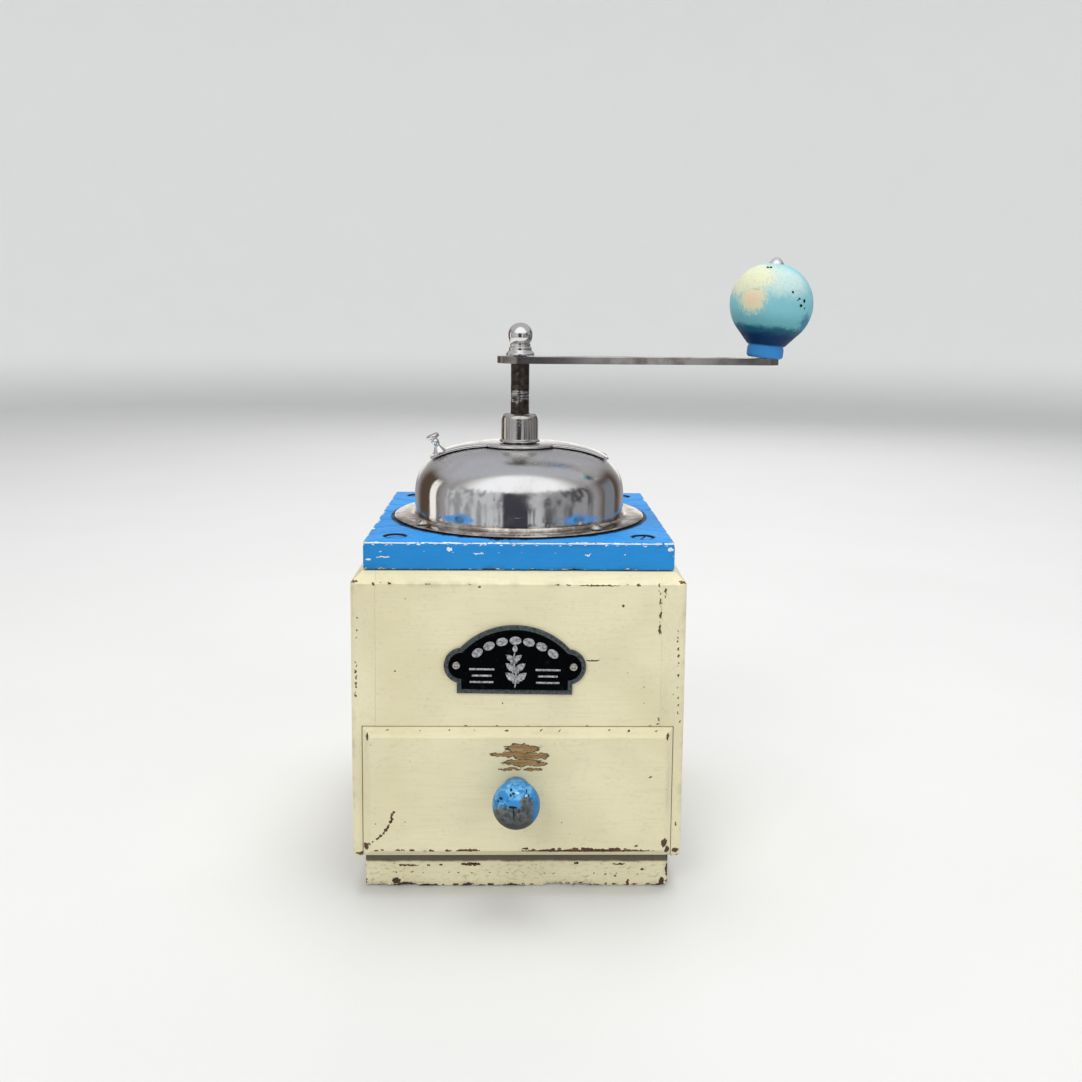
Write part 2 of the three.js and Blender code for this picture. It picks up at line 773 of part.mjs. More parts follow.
// The shaft's upper bearing: a sleeve with a rounded shoulder and a thin foot over the lid's hub.
function shaftCollar() {
  const { radius, footRadius, neckRadius, bottom, foot, top, shoulder } = COLLAR;
  const shoulderArc = arc(top - shoulder, shoulder, 0, 75, 4).map(([r, z]) => [radius - shoulder + r, z]);
  return turned(
    [
      [SHAFT.bore, bottom],
      [neckRadius, bottom],
      [neckRadius, foot],
      [footRadius, foot],
      [footRadius, foot + 0.5],
      [radius, foot + 1.2],
      ...shoulderArc,
      [SHAFT.bore, top],
      [SHAFT.bore, bottom],
    ],
    24,
  );
}

function collarNut() {
  const { radius, bottom, top } = COLLAR_NUT;
  const body = extruded(regularPolygon(6, () => radius), bottom, top);
  return cut(body, rod(COLLAR.neckRadius + GAP, bottom - 1, top + 1));
}

function hopperGroup() {
  const screwHeight = DOME.bottom + DOME.sheet + GAP;
  const domeScrew = roundHeadScrew(DOME_SCREW, DOME_SCREW.length);
  return groupOf(
    mesh("dome_shell", domeShell(), chrome),
    mesh("shaft_collar", shaftCollar(), chrome),
    mesh("collar_nut", collarNut(), brightSteel),
    ...copies("dome_screw", domeScrew, chrome, domeScrewSpots, screwHeight),
  );
}

// ---------------------------------------------------------------- grinding gear

// A cast funnel with a flange that sits in the top plate and a socket for the outer burr.
function burrHousing() {
  const { bottom, top, flangeRadius, flangeThickness, neckRadius, waistRadius, footRadius } = HOUSING;
  const { waistBottom, waistTop, footTop, lip, socketRadius, socketTop } = HOUSING;
  const body = turned([
    [socketRadius, bottom],
    [footRadius, bottom],
    [footRadius, footTop],
    [waistRadius, waistBottom],
    [waistRadius, waistTop],
    [neckRadius, PLATE.bottom],
    [neckRadius, top - flangeThickness],
    [flangeRadius, top - flangeThickness],
    [flangeRadius, top],
    [neckRadius, top],
    [neckRadius - lip, top - lip],
    [socketRadius, socketTop],
    [socketRadius, bottom],
  ]);
  const flangeHoles = housingScrewSpots.map(([x, y]) =>
    rod(HOUSING_SCREW.shankRadius + GAP, top - flangeThickness - 1, top + 1).translate(x, y, 0),
  );
  const yokeHole = rod(YOKE_SCREW.shankRadius + GAP, bottom - 1, YOKE.bottom + YOKE_SCREW.length + GAP);
  const yokeHoles = [-1, 1].map((side) => yokeHole.clone().translate(side * yokeScrewX, 0, 0));
  return cut(body, ...flangeHoles, ...yokeHoles);
}

// A block for one slot in a cone: it lies along the cone's side, at the cone's middle height.
function coneSlot(bottom, top, bottomRadius, topRadius, [inward, outward], width, twist) {
  const slope = Math.atan2(bottomRadius - topRadius, top - bottom);
  const reach = top - bottom;
  const slot = block([-inward, -width / 2, -reach], [outward, width / 2, reach]);
  slot.rotateX(twist).rotateY(-slope);
  return slot.translate((bottomRadius + topRadius) / 2, 0, (bottom + top) / 2);
}

function aroundAxis(geometry, count) {
  return Array.from({ length: count }, (_, i) => geometry.clone().rotateZ((2 * Math.PI * i) / count));
}

function outerBurr() {
  const { radius, bottom, top, bottomBore, topBore, slots } = OUTER_BURR;
  const body = turned([
    [bottomBore, bottom],
    [radius, bottom],
    [radius, top],
    [topBore, top],
    [bottomBore, bottom],
  ]);
  const slot = coneSlot(bottom, top, bottomBore, topBore, [1, 1.3], 1.8, 0);
  return cut(body, ...aroundAxis(slot, slots));
}

// A cone with slanting flutes, fine teeth round its lower edge and a drilled neck for the drive pin.
function innerBurr() {
  const { bottom, shoulder, top, bottomRadius, topRadius, neckRadius, flutes, fineTeeth } = INNER_BURR;
  const body = turned([
    [SHAFT.bore, bottom],
    [bottomRadius, bottom],
    [topRadius, shoulder],
    [neckRadius, shoulder + 1],
    [neckRadius, top],
    [SHAFT.bore, top],
    [SHAFT.bore, bottom],
  ]);
  const slant = radians(20);
  const flute = coneSlot(bottom, shoulder, bottomRadius, topRadius, [1.6, 3], 2, slant);
  const fineSlot = block([-1, -0.5, -5], [2, 0.5, 5]).rotateY(-slant).translate(bottomRadius, 0, bottom);
  return cut(body, drivePinHole(), ...aroundAxis(flute, flutes), ...aroundAxis(fineSlot, fineTeeth));
}

function drivePinHole() {
  const reach = DRIVE_PIN.half + 4;
  return rod(DRIVE_PIN.radius + GAP, -reach, reach).rotateY(Math.PI / 2).translate(0, 0, DRIVE_PIN.height);
}

function drivePin() {
  return rod(DRIVE_PIN.radius, -DRIVE_PIN.half, DRIVE_PIN.half).rotateY(Math.PI / 2);
}

// A bar across the funnel, with a long boss that steadies the shaft.
function bearingBridge() {
  const { half, width, bottom, top, bossRadius, bossBottom, bossTop } = BRIDGE;
  const bar = block([-half, -width / 2, bottom], [half, width / 2, top]);
  const boss = rod(bossRadius, bossBottom, bossTop, 20);
  const bore = rod(SHAFT.bore, bossBottom - 1, bossTop + 1);
  const screwHoles = housingScrewSpots
    .filter(([x]) => Math.abs(x) > 1)
    .map(([x, y]) => rod(HOUSING_SCREW.shankRadius + GAP, bottom - 1, top + 1).translate(x, y, 0));
  return cut(join(bar, boss), bore, ...screwHoles);
}

// Round-headed screws through the housing's flange. The two on the X axis also hold the bridge.
function housingScrews() {
  const bridgeRise = BRIDGE.top - BRIDGE.bottom + GAP;
  return housingScrewSpots.map(([x, y], i) => {
    const throughBridge = Math.abs(x) > 1;
    const length = HOUSING_SCREW.length + (throughBridge ? bridgeRise : 0);
    const height = throughBridge ? BRIDGE.top + GAP : HOUSING.top + GAP;
    return mesh(`housing_screw_${i + 1}`, roundHeadScrew(HOUSING_SCREW, length), brightSteel, [x, y, height]);
  });
}

class Helix extends THREE.Curve {
  getPoint(t, target = new THREE.Vector3()) {
    const { radius, wireRadius, bottom, top, turns } = SPRING;
    const [x, y] = onCircle(radius, 360 * turns * t);
    return target.set(x, y, bottom + wireRadius + (top - bottom - 2 * wireRadius) * t);
  }
}

function pressureSpring() {
  const wire = regularPolygon(6, () => SPRING.wireRadius);
  return new THREE.ExtrudeGeometry(wire, { steps: SPRING.turns * 12, extrudePath: new Helix() });
}

// A bar under the housing, with a threaded boss for the setting screw.
function lowerBridge() {
  const { half, width, bottom, top, bossRadius, bossBottom } = YOKE;
  const bar = block([-half, -width / 2, bottom], [half, width / 2, top]);
  const boss = rod(bossRadius, bossBottom, top, 20);
  const screwHole = rod(YOKE_SCREW.shankRadius + GAP, bottom - 1, top + 1);
  const screwHoles = [-1, 1].map((side) => screwHole.clone().translate(side * yokeScrewX, 0, 0));
  return cut(join(bar, boss), rod(SETTING.bore, bossBottom - 1, top + 1), ...screwHoles);
}

function yokeScrew() {
  return roundHeadScrew(YOKE_SCREW, YOKE_SCREW.length).rotateX(Math.PI);
}

function lockNut() {
  const { radius, bottom, top } = LOCK_NUT;
  return cut(extruded(regularPolygon(6, () => radius), bottom, top), rod(SETTING.bore, bottom - 1, top + 1));
}

// A screw with a ridged thumb wheel at its lower end.
function settingScrew() {
  const { radius, top, wheelBottom, wheelTop, wheelRadius, ridges } = SETTING;
  const wheel = regularPolygon(2 * ridges, (i) => wheelRadius - (i % 2) * 0.6);
  return join(extruded(wheel, wheelBottom, wheelTop), rod(radius, wheelTop - 1, top));
}

function grindingGroup() {
  return groupOf(
    mesh("burr_housing", burrHousing(), castIron),
    mesh("outer_burr", outerBurr(), burrSteel),
    mesh("bearing_bridge", bearingBridge(), castIron),
    ...housingScrews(),
    mesh("pressure_spring", pressureSpring(), springSteel),
    mesh("lower_bridge", lowerBridge(), castIron),
    mesh("lower_bridge_screw_left", yokeScrew(), brightSteel, [-yokeScrewX, 0, YOKE.bottom - GAP]),
    mesh("lower_bridge_screw_right", yokeScrew(), brightSteel, [yokeScrewX, 0, YOKE.bottom - GAP]),
    mesh("lock_nut", lockNut(), brightSteel),
    mesh("grind_screw", settingScrew(), brightSteel),
    mesh("thrust_pad", rod(THRUST_PAD.radius, THRUST_PAD.bottom, THRUST_PAD.top), brightSteel),
  );
}

// ---------------------------------------------------------------- crank

// A round shaft pointed at its foot, with a square and then a threaded spigot at its top.
function crankShaft() {
  const { radius, bottom, top, point } = SHAFT;
  const tip = 1.5;
  const foot = bottom + point;
  const round = turned([[0, bottom], [tip, bottom], [radius, foot], [radius, top], [0, top]], 24);
  const half = ARM.squareHalf;
  const square = squareTurned([[0, top - 1], [half, top - 1], [half, armTop], [0, armTop]]);
  const thread = rod(SPIGOT.radius, top - 1, SPIGOT.top);
  return cut(join(round, square, thread), drivePinHole());
}

// A flat arm that tapers from a round hub to a round tip, with its edges bevelled.
function crankArm() {
  const { thickness, reach, hubRadius, tipRadius, bevel, squareHalf } = ARM;
  const tangent = Math.acos((hubRadius - tipRadius) / reach);
  const plan = new THREE.Shape();
  plan.absarc(reach, 0, tipRadius - bevel, -tangent, tangent);
  plan.absarc(0, 0, hubRadius - bevel, tangent, 2 * Math.PI - tangent);
  const bar = new THREE.ExtrudeGeometry(plan, {
    depth: thickness - 2 * bevel,
    bevelThickness: bevel,
    bevelSize: bevel,
    bevelSegments: 1,
    curveSegments: 12,
  }).translate(0, 0, bevel);
  const hole = squareHalf + GAP;
  const squareHole = block([-hole, -hole, -1], [hole, hole, thickness + 1]);
  return cut(bar, squareHole, pinHole().rotateY(radians(KNOB.lean)).translate(reach, 0, thickness));
}

// The hole for the knob's pin, down through the arm from z = 0, with a countersink for its riveted end.
function pinHole() {
  const shank = PIN.radius + GAP;
  const flare = PIN.rivetRadius + GAP;
  const foot = PIN.rivetInset - ARM.thickness;
  const below = foot - 2;
  return turned(
    [
      [0, below],
      [flare, below],
      [flare, foot],
      [shank, foot + PIN.rivetHeight],
      [shank, 1],
      [0, 1],
    ],
    SMALL_STEPS,
  );
}

// A ball on two beads and a flange, standing on z = 0, drilled for the threaded spigot.
function finialNut() {
  const { ballRadius, ballHeight, flangeRadius, neckRadius } = FINIAL;
  const neckAngle = THREE.MathUtils.radToDeg(Math.acos((neckRadius - 0.6) / ballRadius));
  const body = turned(
    [
      [0, 0],
      [flangeRadius, 0],
      [flangeRadius, 0.8],
      [neckRadius + 0.5, 2.1],
      [neckRadius + 0.5, 3.4],
      [neckRadius - 0.3, 3.8],
      [neckRadius, 4.2],
      [neckRadius, 5],
      ...arc(ballHeight, ballRadius, -neckAngle, 90, 9),
    ],
    20,
  );
  return cut(body, rod(SPIGOT.radius + GAP, -1, SPIGOT.top - armTop + GAP));
}

// A turned wooden ball on a short neck, bored through for its pin. z = 0 is the top of the crank arm.
// Its foot is hollowed, so that the rim stands round the arm's tip.
function crankKnob() {
  const { radius, centre, bottom, recess, recessRadius, neckRadius, neckTop, top } = KNOB;
  const bore = PIN.radius + 0.4;
  const topAngle = THREE.MathUtils.radToDeg(Math.asin((top - centre) / radius));
  return turned(
    [
      [bore, recess],
      [recessRadius, recess],
      [recessRadius, bottom],
      [neckRadius - 0.5, bottom],
      [neckRadius - 0.1, bottom + 0.6],
      [neckRadius, neckTop - 0.6],
      [neckRadius - 0.3, neckTop],
      [neckRadius + 0.4, neckTop + 0.6],
      ...arc(centre, radius, -45, topAngle, 13),
      [bore, top],
      [bore, recess],
    ],
    28,
  );
}

// The knob's pin: a low domed head above the knob and a riveted end flush with the arm's underside.
function knobPin() {
  const { radius, headRadius, headHeight, rivetRadius, rivetHeight, rivetInset } = PIN;
  const head = KNOB.top + GAP;
  const foot = rivetInset - ARM.thickness;
  return turned(
    [
      [0, foot],
      [rivetRadius, foot],
      [radius, foot + rivetHeight],
      [radius, head],
      [headRadius, head],
      [0.8 * headRadius, head + 0.6 * headHeight],
      [0.3 * headRadius, head + headHeight],
      [0, head + headHeight],
    ],
    SMALL_STEPS,
  );
}

function crankGroup() {
  const leaning = groupOf(
    mesh("crank_knob", crankKnob(), aquaPaint),
    mesh("knob_pin", knobPin(), chrome),
  );
  leaning.position.set(ARM.reach, 0, armTop);
  leaning.rotation.y = radians(KNOB.lean);
  return groupOf(
    mesh("crank_shaft", crankShaft(), darkSteel),
    mesh("crank_arm", crankArm(), chrome, [0, 0, ARM.bottom]),
    mesh("finial_nut", finialNut(), chrome, [0, 0, armTop + GAP]),
    mesh("inner_burr", innerBurr(), burrSteel),
    mesh("drive_pin", drivePin(), brightSteel, [0, 0, DRIVE_PIN.height]),
    leaning,
  );
}

// ---------------------------------------------------------------- the mill

const mill = groupOf(
  caseGroup(),
  namePlateGroup(),
  drawerGroup(),
  hopperGroup(),
  lidGroup(),
  grindingGroup(),
  crankGroup(),
);

export default mill;
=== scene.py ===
import json
import math
import random

import bmesh
import bpy
from mathutils import Matrix, Vector, noise


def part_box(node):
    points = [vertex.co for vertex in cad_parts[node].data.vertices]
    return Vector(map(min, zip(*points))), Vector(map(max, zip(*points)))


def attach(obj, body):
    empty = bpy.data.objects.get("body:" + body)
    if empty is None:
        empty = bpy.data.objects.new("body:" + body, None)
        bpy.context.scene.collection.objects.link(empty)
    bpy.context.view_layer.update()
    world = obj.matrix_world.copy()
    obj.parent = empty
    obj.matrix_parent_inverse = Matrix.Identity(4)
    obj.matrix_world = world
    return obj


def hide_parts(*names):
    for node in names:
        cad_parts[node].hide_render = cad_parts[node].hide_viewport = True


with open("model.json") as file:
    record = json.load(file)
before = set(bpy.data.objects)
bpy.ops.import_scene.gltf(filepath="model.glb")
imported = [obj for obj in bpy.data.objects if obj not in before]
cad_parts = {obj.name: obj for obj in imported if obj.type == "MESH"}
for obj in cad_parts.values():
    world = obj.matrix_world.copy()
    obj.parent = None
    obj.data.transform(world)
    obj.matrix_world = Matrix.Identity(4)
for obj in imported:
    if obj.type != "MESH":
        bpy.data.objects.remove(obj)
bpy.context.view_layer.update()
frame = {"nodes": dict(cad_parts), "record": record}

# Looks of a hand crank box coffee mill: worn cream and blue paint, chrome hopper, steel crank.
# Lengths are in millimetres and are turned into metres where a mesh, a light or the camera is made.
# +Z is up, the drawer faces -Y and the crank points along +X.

MM = 0.001
RECORD = frame["record"]
BODY_OF = {node: body for body, nodes in RECORD["behaviour"]["bodies"].items() for node in nodes}


def extent(node):
    """A CAD node's lowest and highest corners, in millimetres."""
    low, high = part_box(node)
    return low / MM, high / MM


def centre_of(node):
    """The middle of a CAD node's box, in millimetres."""
    low, high = extent(node)
    return (low + high) / 2


# ---------------------------------------------------------------- sizes

CASE_LOW, CASE_HIGH = extent("side_panel_left")
CASE_HALF = -CASE_LOW.x
CASE_TOP = CASE_HIGH.z
CASE_CHAMFER = 4.2
PLATE_LOW, PLATE_HIGH = extent("top_plate")
PLINTH_LOW, PLINTH_HIGH = extent("base_plinth")
DRAWER_LOW, DRAWER_HIGH = extent("drawer_front")

# The hopper's dome is a superellipse turned about the shaft, on an upright wall with a flange.
DOME_LOW, DOME_HIGH = extent("dome_shell")
DOME_SHEET = 0.8
DOME_RADIUS = 44.85
DOME_WALL_TOP = 145
DOME_RISE = 23.6
DOME_EXPONENT = 3
DOME_FILLET = 1.8
NECK_HOLE = 7.4
MOUTH_INNER = 15.8
MOUTH_OUTER = 33.5
MOUTH_FRONT = 2.2
LID_OUTSET = 1.15
LID_RADIUS = 38
LID_HUB = 16.5
LID_FRONT = -9
LID_HOLE = 7.6
LID_BEAD = 0.62
LID_KNOB_DISTANCE = 34.5
LID_KNOB_BEARING = -166.5

ARM_LOW, ARM_HIGH = extent("crank_arm")
ARM_HUB = 10
ARM_TIP = 6.1
ARM_REACH = ARM_HIGH.x - ARM_TIP
KNOB_LEAN = math.radians(5.7)

RED_BROWN = (0.17, 0.068, 0.03)
OLD_WOOD = (0.24, 0.125, 0.05)


# ---------------------------------------------------------------- shapes: lists of points and faces

def grid(rows, around=True, closed=False):
    """Rows of points joined by faces. A row of one point is a pole."""
    points, starts = [], []
    for row in rows:
        starts.append(len(points))
        points.extend(row)
    count = max(len(row) for row in rows)
    pairs = list(zip(range(len(rows)), range(1, len(rows))))
    if closed:
        pairs.append((len(rows) - 1, 0))
    faces = []
    for low, high in pairs:
        for i in range(count if around else count - 1):
            j = (i + 1) % count
            a = [starts[low] + (k if len(rows[low]) > 1 else 0) for k in (i, j)]
            b = [starts[high] + (k if len(rows[high]) > 1 else 0) for k in (j, i)]
            corners = list(dict.fromkeys(a + b))
            if len(corners) > 2:
                faces.append(corners)
    return points, faces


def turned(profile, steps=96, closed=False):
    """A profile of [radius, height] pairs turned about the Z axis, going up its outside."""
    rows = []
    for radius, height in profile:
        if radius < 1e-6:
            rows.append([Vector((0, 0, height))])
            continue
        angles = [2 * math.pi * i / steps for i in range(steps)]
        rows.append([Vector((radius * math.cos(a), radius * math.sin(a), height)) for a in angles])
    return grid(rows, closed=closed)


def eased(profile, reach=0.3, steps=3):
    """The same line with each corner rounded by a short curve."""
    points = [Vector(point) for point in profile]
    result = [points[0]]
    for before, corner, after in zip(points, points[1:], points[2:]):
        back, ahead = before - corner, after - corner
        start = corner + back.normalized() * min(reach, 0.45 * back.length)
        end = corner + ahead.normalized() * min(reach, 0.45 * ahead.length)
        for i in range(steps + 1):
            t = i / steps
            result.append((1 - t) ** 2 * start + 2 * t * (1 - t) * corner + t ** 2 * end)
    return result + [points[-1]]


def arc(centre, radius, start, end, steps):
    """Points on an arc about a centre [across, up], between two angles in degrees."""
    angles = [math.radians(start + (end - start) * i / steps) for i in range(steps + 1)]
    return [(centre[0] + radius * math.cos(a), centre[1] + radius * math.sin(a)) for a in angles]


def tube(path, radius, sides=10, closed=False):
    """A round bar along a path. Its ends are capped unless the path is closed."""
    rows = []
    for i, point in enumerate(path):
        before = path[i - 1] if i or closed else path[0]
        after = path[(i + 1) % len(path)] if closed or i + 1 < len(path) else path[-1]
        along = (after - before).normalized()
        side = along.cross(Vector((0, 0, 1)) if abs(along.z) < 0.9 else Vector((1, 0, 0))).normalized()
        lift = side.cross(along)
        angles = [2 * math.pi * k / sides for k in range(sides)]
        rows.append([point + radius * (math.cos(a) * side + math.sin(a) * lift) for a in angles])
    if not closed:
        rows = [[path[0]]] + rows + [[path[-1]]]
    return grid(rows, closed=closed)


def prism(outline, bottom, top):
    """A flat outline of [x, y] pairs given thickness between two heights."""
    count = len(outline)
    points = [Vector((x, y, z)) for z in (bottom, top) for x, y in outline]
    faces = [list(range(count - 1, -1, -1)), list(range(count, 2 * count))]
    faces += [[i, (i + 1) % count, count + (i + 1) % count, count + i] for i in range(count)]
    return points, faces


def merged(*shapes):
    points, faces = [], []
    for more_points, more_faces in shapes:
        faces += [[len(points) + i for i in face] for face in more_faces]
        points += more_points
    return points, faces


def moved(shape, matrix):
    return [matrix @ Vector(point) for point in shape[0]], shape[1]


# ---------------------------------------------------------------- meshes and pieces

def mesh_of(name, shape):
    """A mesh in metres, its normals facing out, from a shape in millimetres."""
    mesh = bpy.data.meshes.new(name)
    mesh.from_pydata([Vector(point) * MM for point in shape[0]], [], shape[1])
    edit = bmesh.new()
    edit.from_mesh(mesh)
    bmesh.ops.remove_doubles(edit, verts=edit.verts, dist=1e-7)
    bmesh.ops.recalc_face_normals(edit, faces=edit.faces)
    edit.to_mesh(mesh)
    edit.free()
    return mesh


def shade(mesh, sharp):
    """Smooth shading, except at edges over an angle in degrees."""
    mesh.polygons.foreach_set("use_smooth", [True] * len(mesh.polygons))
    mesh.set_sharp_from_angle(angle=math.radians(sharp))


def show(node, mesh, material, sharp=40, matrix=None, extra=""):
    """Shows a mesh in place of a CAD node, in the given material: it rides on that node's body, and the node
    is hidden.
    """
    shade(mesh, sharp)
    mesh.materials.append(material)
    piece = bpy.data.objects.new(f"{node}_{extra}" if extra else f"{node}_fine", mesh)
    bpy.context.scene.collection.objects.link(piece)
    if matrix:
        piece.matrix_world = matrix
    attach(piece, BODY_OF[node])
    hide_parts(node)
    return piece


def softened(node, material, ease=0.3, sharp=30, segments=2, grow=(0, 0)):
    """A copy of a CAD node with its edges eased, shown in its place.

    grow moves its left and right ends, and its bottom and top, outwards into the gaps round it.
    """
    mesh = frame["nodes"][node].data.copy()
    mesh.materials.clear()
    low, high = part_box(node)
    for vertex in mesh.vertices:
        for axis, amount in ((0, grow[0]), (2, grow[1])):
            if abs(vertex.co[axis] - low[axis]) < 0.01 * MM:
                vertex.co[axis] -= amount * MM
            elif abs(vertex.co[axis] - high[axis]) < 0.01 * MM:
                vertex.co[axis] += amount * MM
    edit = bmesh.new()
    edit.from_mesh(mesh)
    bmesh.ops.remove_doubles(edit, verts=edit.verts, dist=1e-6)
    bmesh.ops.dissolve_limit(edit, angle_limit=math.radians(0.3), verts=edit.verts, edges=edit.edges)
    edit.to_mesh(mesh)
    edit.free()
    bevelled(show(node, mesh, material, sharp), ease, segments, sharp)


def bevelled(piece, width, segments, angle=50, harden=True):
    """Rounds a piece's edges that turn by more than an angle in degrees."""
    bevel = piece.modifiers.new("eased", "BEVEL")
    bevel.width = width * MM
    bevel.segments = segments
    bevel.limit_method = "ANGLE"
    bevel.angle_limit = math.radians(angle)
    bevel.harden_normals = harden


def carved(mesh, cutters):
    """A mesh with other shapes cut out of it."""
    body = bpy.data.objects.new("carved", mesh)
    bpy.context.scene.collection.objects.link(body)
    tool = bpy.data.objects.new("cutters", mesh_of("cutters", merged(*cutters)))
    bpy.context.scene.collection.objects.link(tool)
    cut = body.modifiers.new("cut", "BOOLEAN")
    cut.object = tool
    cut.operation = "DIFFERENCE"
    cut.solver = "EXACT"
    graph = bpy.context.evaluated_depsgraph_get()
    result = bpy.data.meshes.new_from_object(body.evaluated_get(graph))
    bpy.data.objects.remove(body)
    bpy.data.objects.remove(tool)
    return result


# ---------------------------------------------------------------- shader nodes

class Shader:
    """A material's node tree, built a node at a time. Each method gives an output socket."""

    def __init__(self, name):
        self.material = bpy.data.materials.new(name)
        self.material.use_nodes = True
        self.tree = self.material.node_tree
        self.tree.nodes.clear()
        self.place = self.tree.nodes.new("ShaderNodeTexCoord").outputs["Object"]

    @classmethod
    def reopened(cls, material):
        """A finished material's node tree, to be added to."""
        shader = cls.__new__(cls)
        shader.material = material
        shader.tree = material.node_tree
        shader.place = shader.found("TEX_COORD").outputs["Object"]
        return shader

    def found(self, kind):
        return next(node for node in self.tree.nodes if node.type == kind)

    def feeding(self, name):
        """The socket that feeds an input of the material's surface."""
        return self.found("BSDF_PRINCIPLED").inputs[name].links[0].from_socket

    def refeed(self, name, value):
        self.fill(self.found("BSDF_PRINCIPLED").inputs[name], value)

    def fill(self, socket, value):
        if isinstance(value, bpy.types.NodeSocket):
            self.tree.links.new(value, socket)
        elif isinstance(value, tuple) and socket.type == "RGBA":
            socket.default_value = (*value[:3], 1)
        else:
            socket.default_value = value

    def math(self, operation, *values, clamp=False):
        node = self.tree.nodes.new("ShaderNodeMath")
        node.operation = operation
        node.use_clamp = clamp
        for socket, value in zip(node.inputs, values):
            self.fill(socket, value)
        return node.outputs[0]

    def plus(self, first, second, clamp=False):
        return self.math("ADD", first, second, clamp=clamp)

    def minus(self, first, second):
        return self.math("SUBTRACT", first, second)

    def times(self, first, second):
        return self.math("MULTIPLY", first, second)

    def swayed(self, value, pattern, amount):
        """A value moved up and down by a noise pattern."""
        return self.plus(value, self.times(self.minus(pattern, 0.5), amount))

    def band(self, value, middle, outer, inner):
        """1 where a value is within inner of a middle, falling to 0 at outer."""
        return self.step(self.math("ABSOLUTE", self.minus(value, middle)), outer, inner)

    def height(self):
        """Millimetres up the Z axis."""
        return self.math("DIVIDE", self.axes()[2], MM)

    def vector(self, operation, *values):
        node = self.tree.nodes.new("ShaderNodeVectorMath")
        node.operation = operation
        for socket, value in zip(node.inputs, values):
            self.fill(socket, value)
        return node.outputs["Value" if operation in ("LENGTH", "DISTANCE", "DOT_PRODUCT") else "Vector"]

    def axes(self, place=None):
        node = self.tree.nodes.new("ShaderNodeSeparateXYZ")
        self.fill(node.inputs[0], place or self.place)
        return list(node.outputs)

    def noise(self, size, stretch=(1, 1, 1), detail=3, roughness=0.5, place=None, colour=False):
        """Noise whose blotches are about size millimetres, longer along the stretched axes."""
        node = self.tree.nodes.new("ShaderNodeTexNoise")
        scale = tuple(1 / (size * MM * s) for s in stretch)
        self.fill(node.inputs["Vector"], self.vector("MULTIPLY", place or self.place, scale))
        node.inputs["Scale"].default_value = 1
        node.inputs["Detail"].default_value = detail
        node.inputs["Roughness"].default_value = roughness
        return node.outputs["Color" if colour else "Fac"]

    def pits(self, size, reach):
        """1 in small round pits set about size millimetres apart, 0 between them."""
        node = self.tree.nodes.new("ShaderNodeTexVoronoi")
        self.fill(node.inputs["Vector"], self.vector("MULTIPLY", self.place, (1 / (size * MM),) * 3))
        node.inputs["Scale"].default_value = 1
        return self.step(node.outputs["Distance"], reach, 0.5 * reach)

    def step(self, value, start, end, low=0, high=1):
        """A smooth rise from low to high as a value goes from start to end."""
        node = self.tree.nodes.new("ShaderNodeMapRange")
        node.interpolation_type = "SMOOTHSTEP"
        for socket, number in zip(node.inputs, (value, start, end, low, high)):
            self.fill(socket, number)
        return node.outputs[0]

    def mix(self, share, first, second, kind="MIX"):
        node = self.tree.nodes.new("ShaderNodeMix")
        node.data_type = "RGBA"
        node.blend_type = kind
        self.fill(node.inputs[0], share)
        self.fill(node.inputs[6], first)
        self.fill(node.inputs[7], second)
        return node.outputs[2]

    def bump(self, height, depth, normal=None):
        """Relief from a height of 0 to 1 that stands for a depth in millimetres."""
        node = self.tree.nodes.new("ShaderNodeBump")
        node.inputs["Strength"].default_value = 1
        node.inputs["Distance"].default_value = depth * MM
        self.fill(node.inputs["Height"], height)
        if normal:
            self.fill(node.inputs["Normal"], normal)
        return node.outputs[0]

    def ragged(self, size, amount):
        """The place pushed about by noise, which gives ragged edges to marks measured from it."""
        shake = self.vector("SUBTRACT", self.noise(size, colour=True), (0.5, 0.5, 0.5))
        return self.vector("ADD", self.place, self.vector("MULTIPLY", shake, (amount * MM,) * 3))

    def nearest(self, marks, place):
        """How near the closest mark is: under 1 inside it. A mark is a centre and three radii."""
        closest = 9.0
        for centre, radii in marks:
            offset = self.vector("SUBTRACT", place, tuple(c * MM for c in centre))
            scaled = self.vector("DIVIDE", offset, tuple(r * MM for r in radii))
            closest = self.math("MINIMUM", self.vector("LENGTH", scaled), closest)
        return closest

    def edge_distance(self, low, high):
        """Millimetres to the nearest edge of a board, on its surface."""
        centre = tuple((low + high) / 2 * MM)
        half = tuple((high - low) / 2 * MM)
        offset = self.vector("ABSOLUTE", self.vector("SUBTRACT", self.place, centre))
        inward = self.vector("SUBTRACT", half, offset)
        x, y, z = self.axes(inward)
        least = self.math("MINIMUM", x, self.math("MINIMUM", y, z))
        most = self.math("MAXIMUM", x, self.math("MAXIMUM", y, z))
        total = self.math("ADD", x, self.math("ADD", y, z))
        middle = self.math("SUBTRACT", total, self.math("ADD", least, most))
        return self.math("DIVIDE", middle, MM)

    def surface(self, colour, roughness, metallic=0.0, normal=None, coat=0.0, coat_roughness=0.1, shine=0.5):
        node = self.tree.nodes.new("ShaderNodeBsdfPrincipled")
        node.inputs["Specular IOR Level"].default_value = shine
        self.fill(node.inputs["Base Color"], colour)
        self.fill(node.inputs["Roughness"], roughness)
        self.fill(node.inputs["Metallic"], metallic)
        node.inputs["Coat Weight"].default_value = coat
        node.inputs["Coat Roughness"].default_value = coat_roughness
        if normal:
            self.fill(node.inputs["Normal"], normal)
        output = self.tree.nodes.new("ShaderNodeOutputMaterial")
        self.tree.links.new(node.outputs[0], output.inputs["Surface"])
        return self.material


# ---------------------------------------------------------------- materials

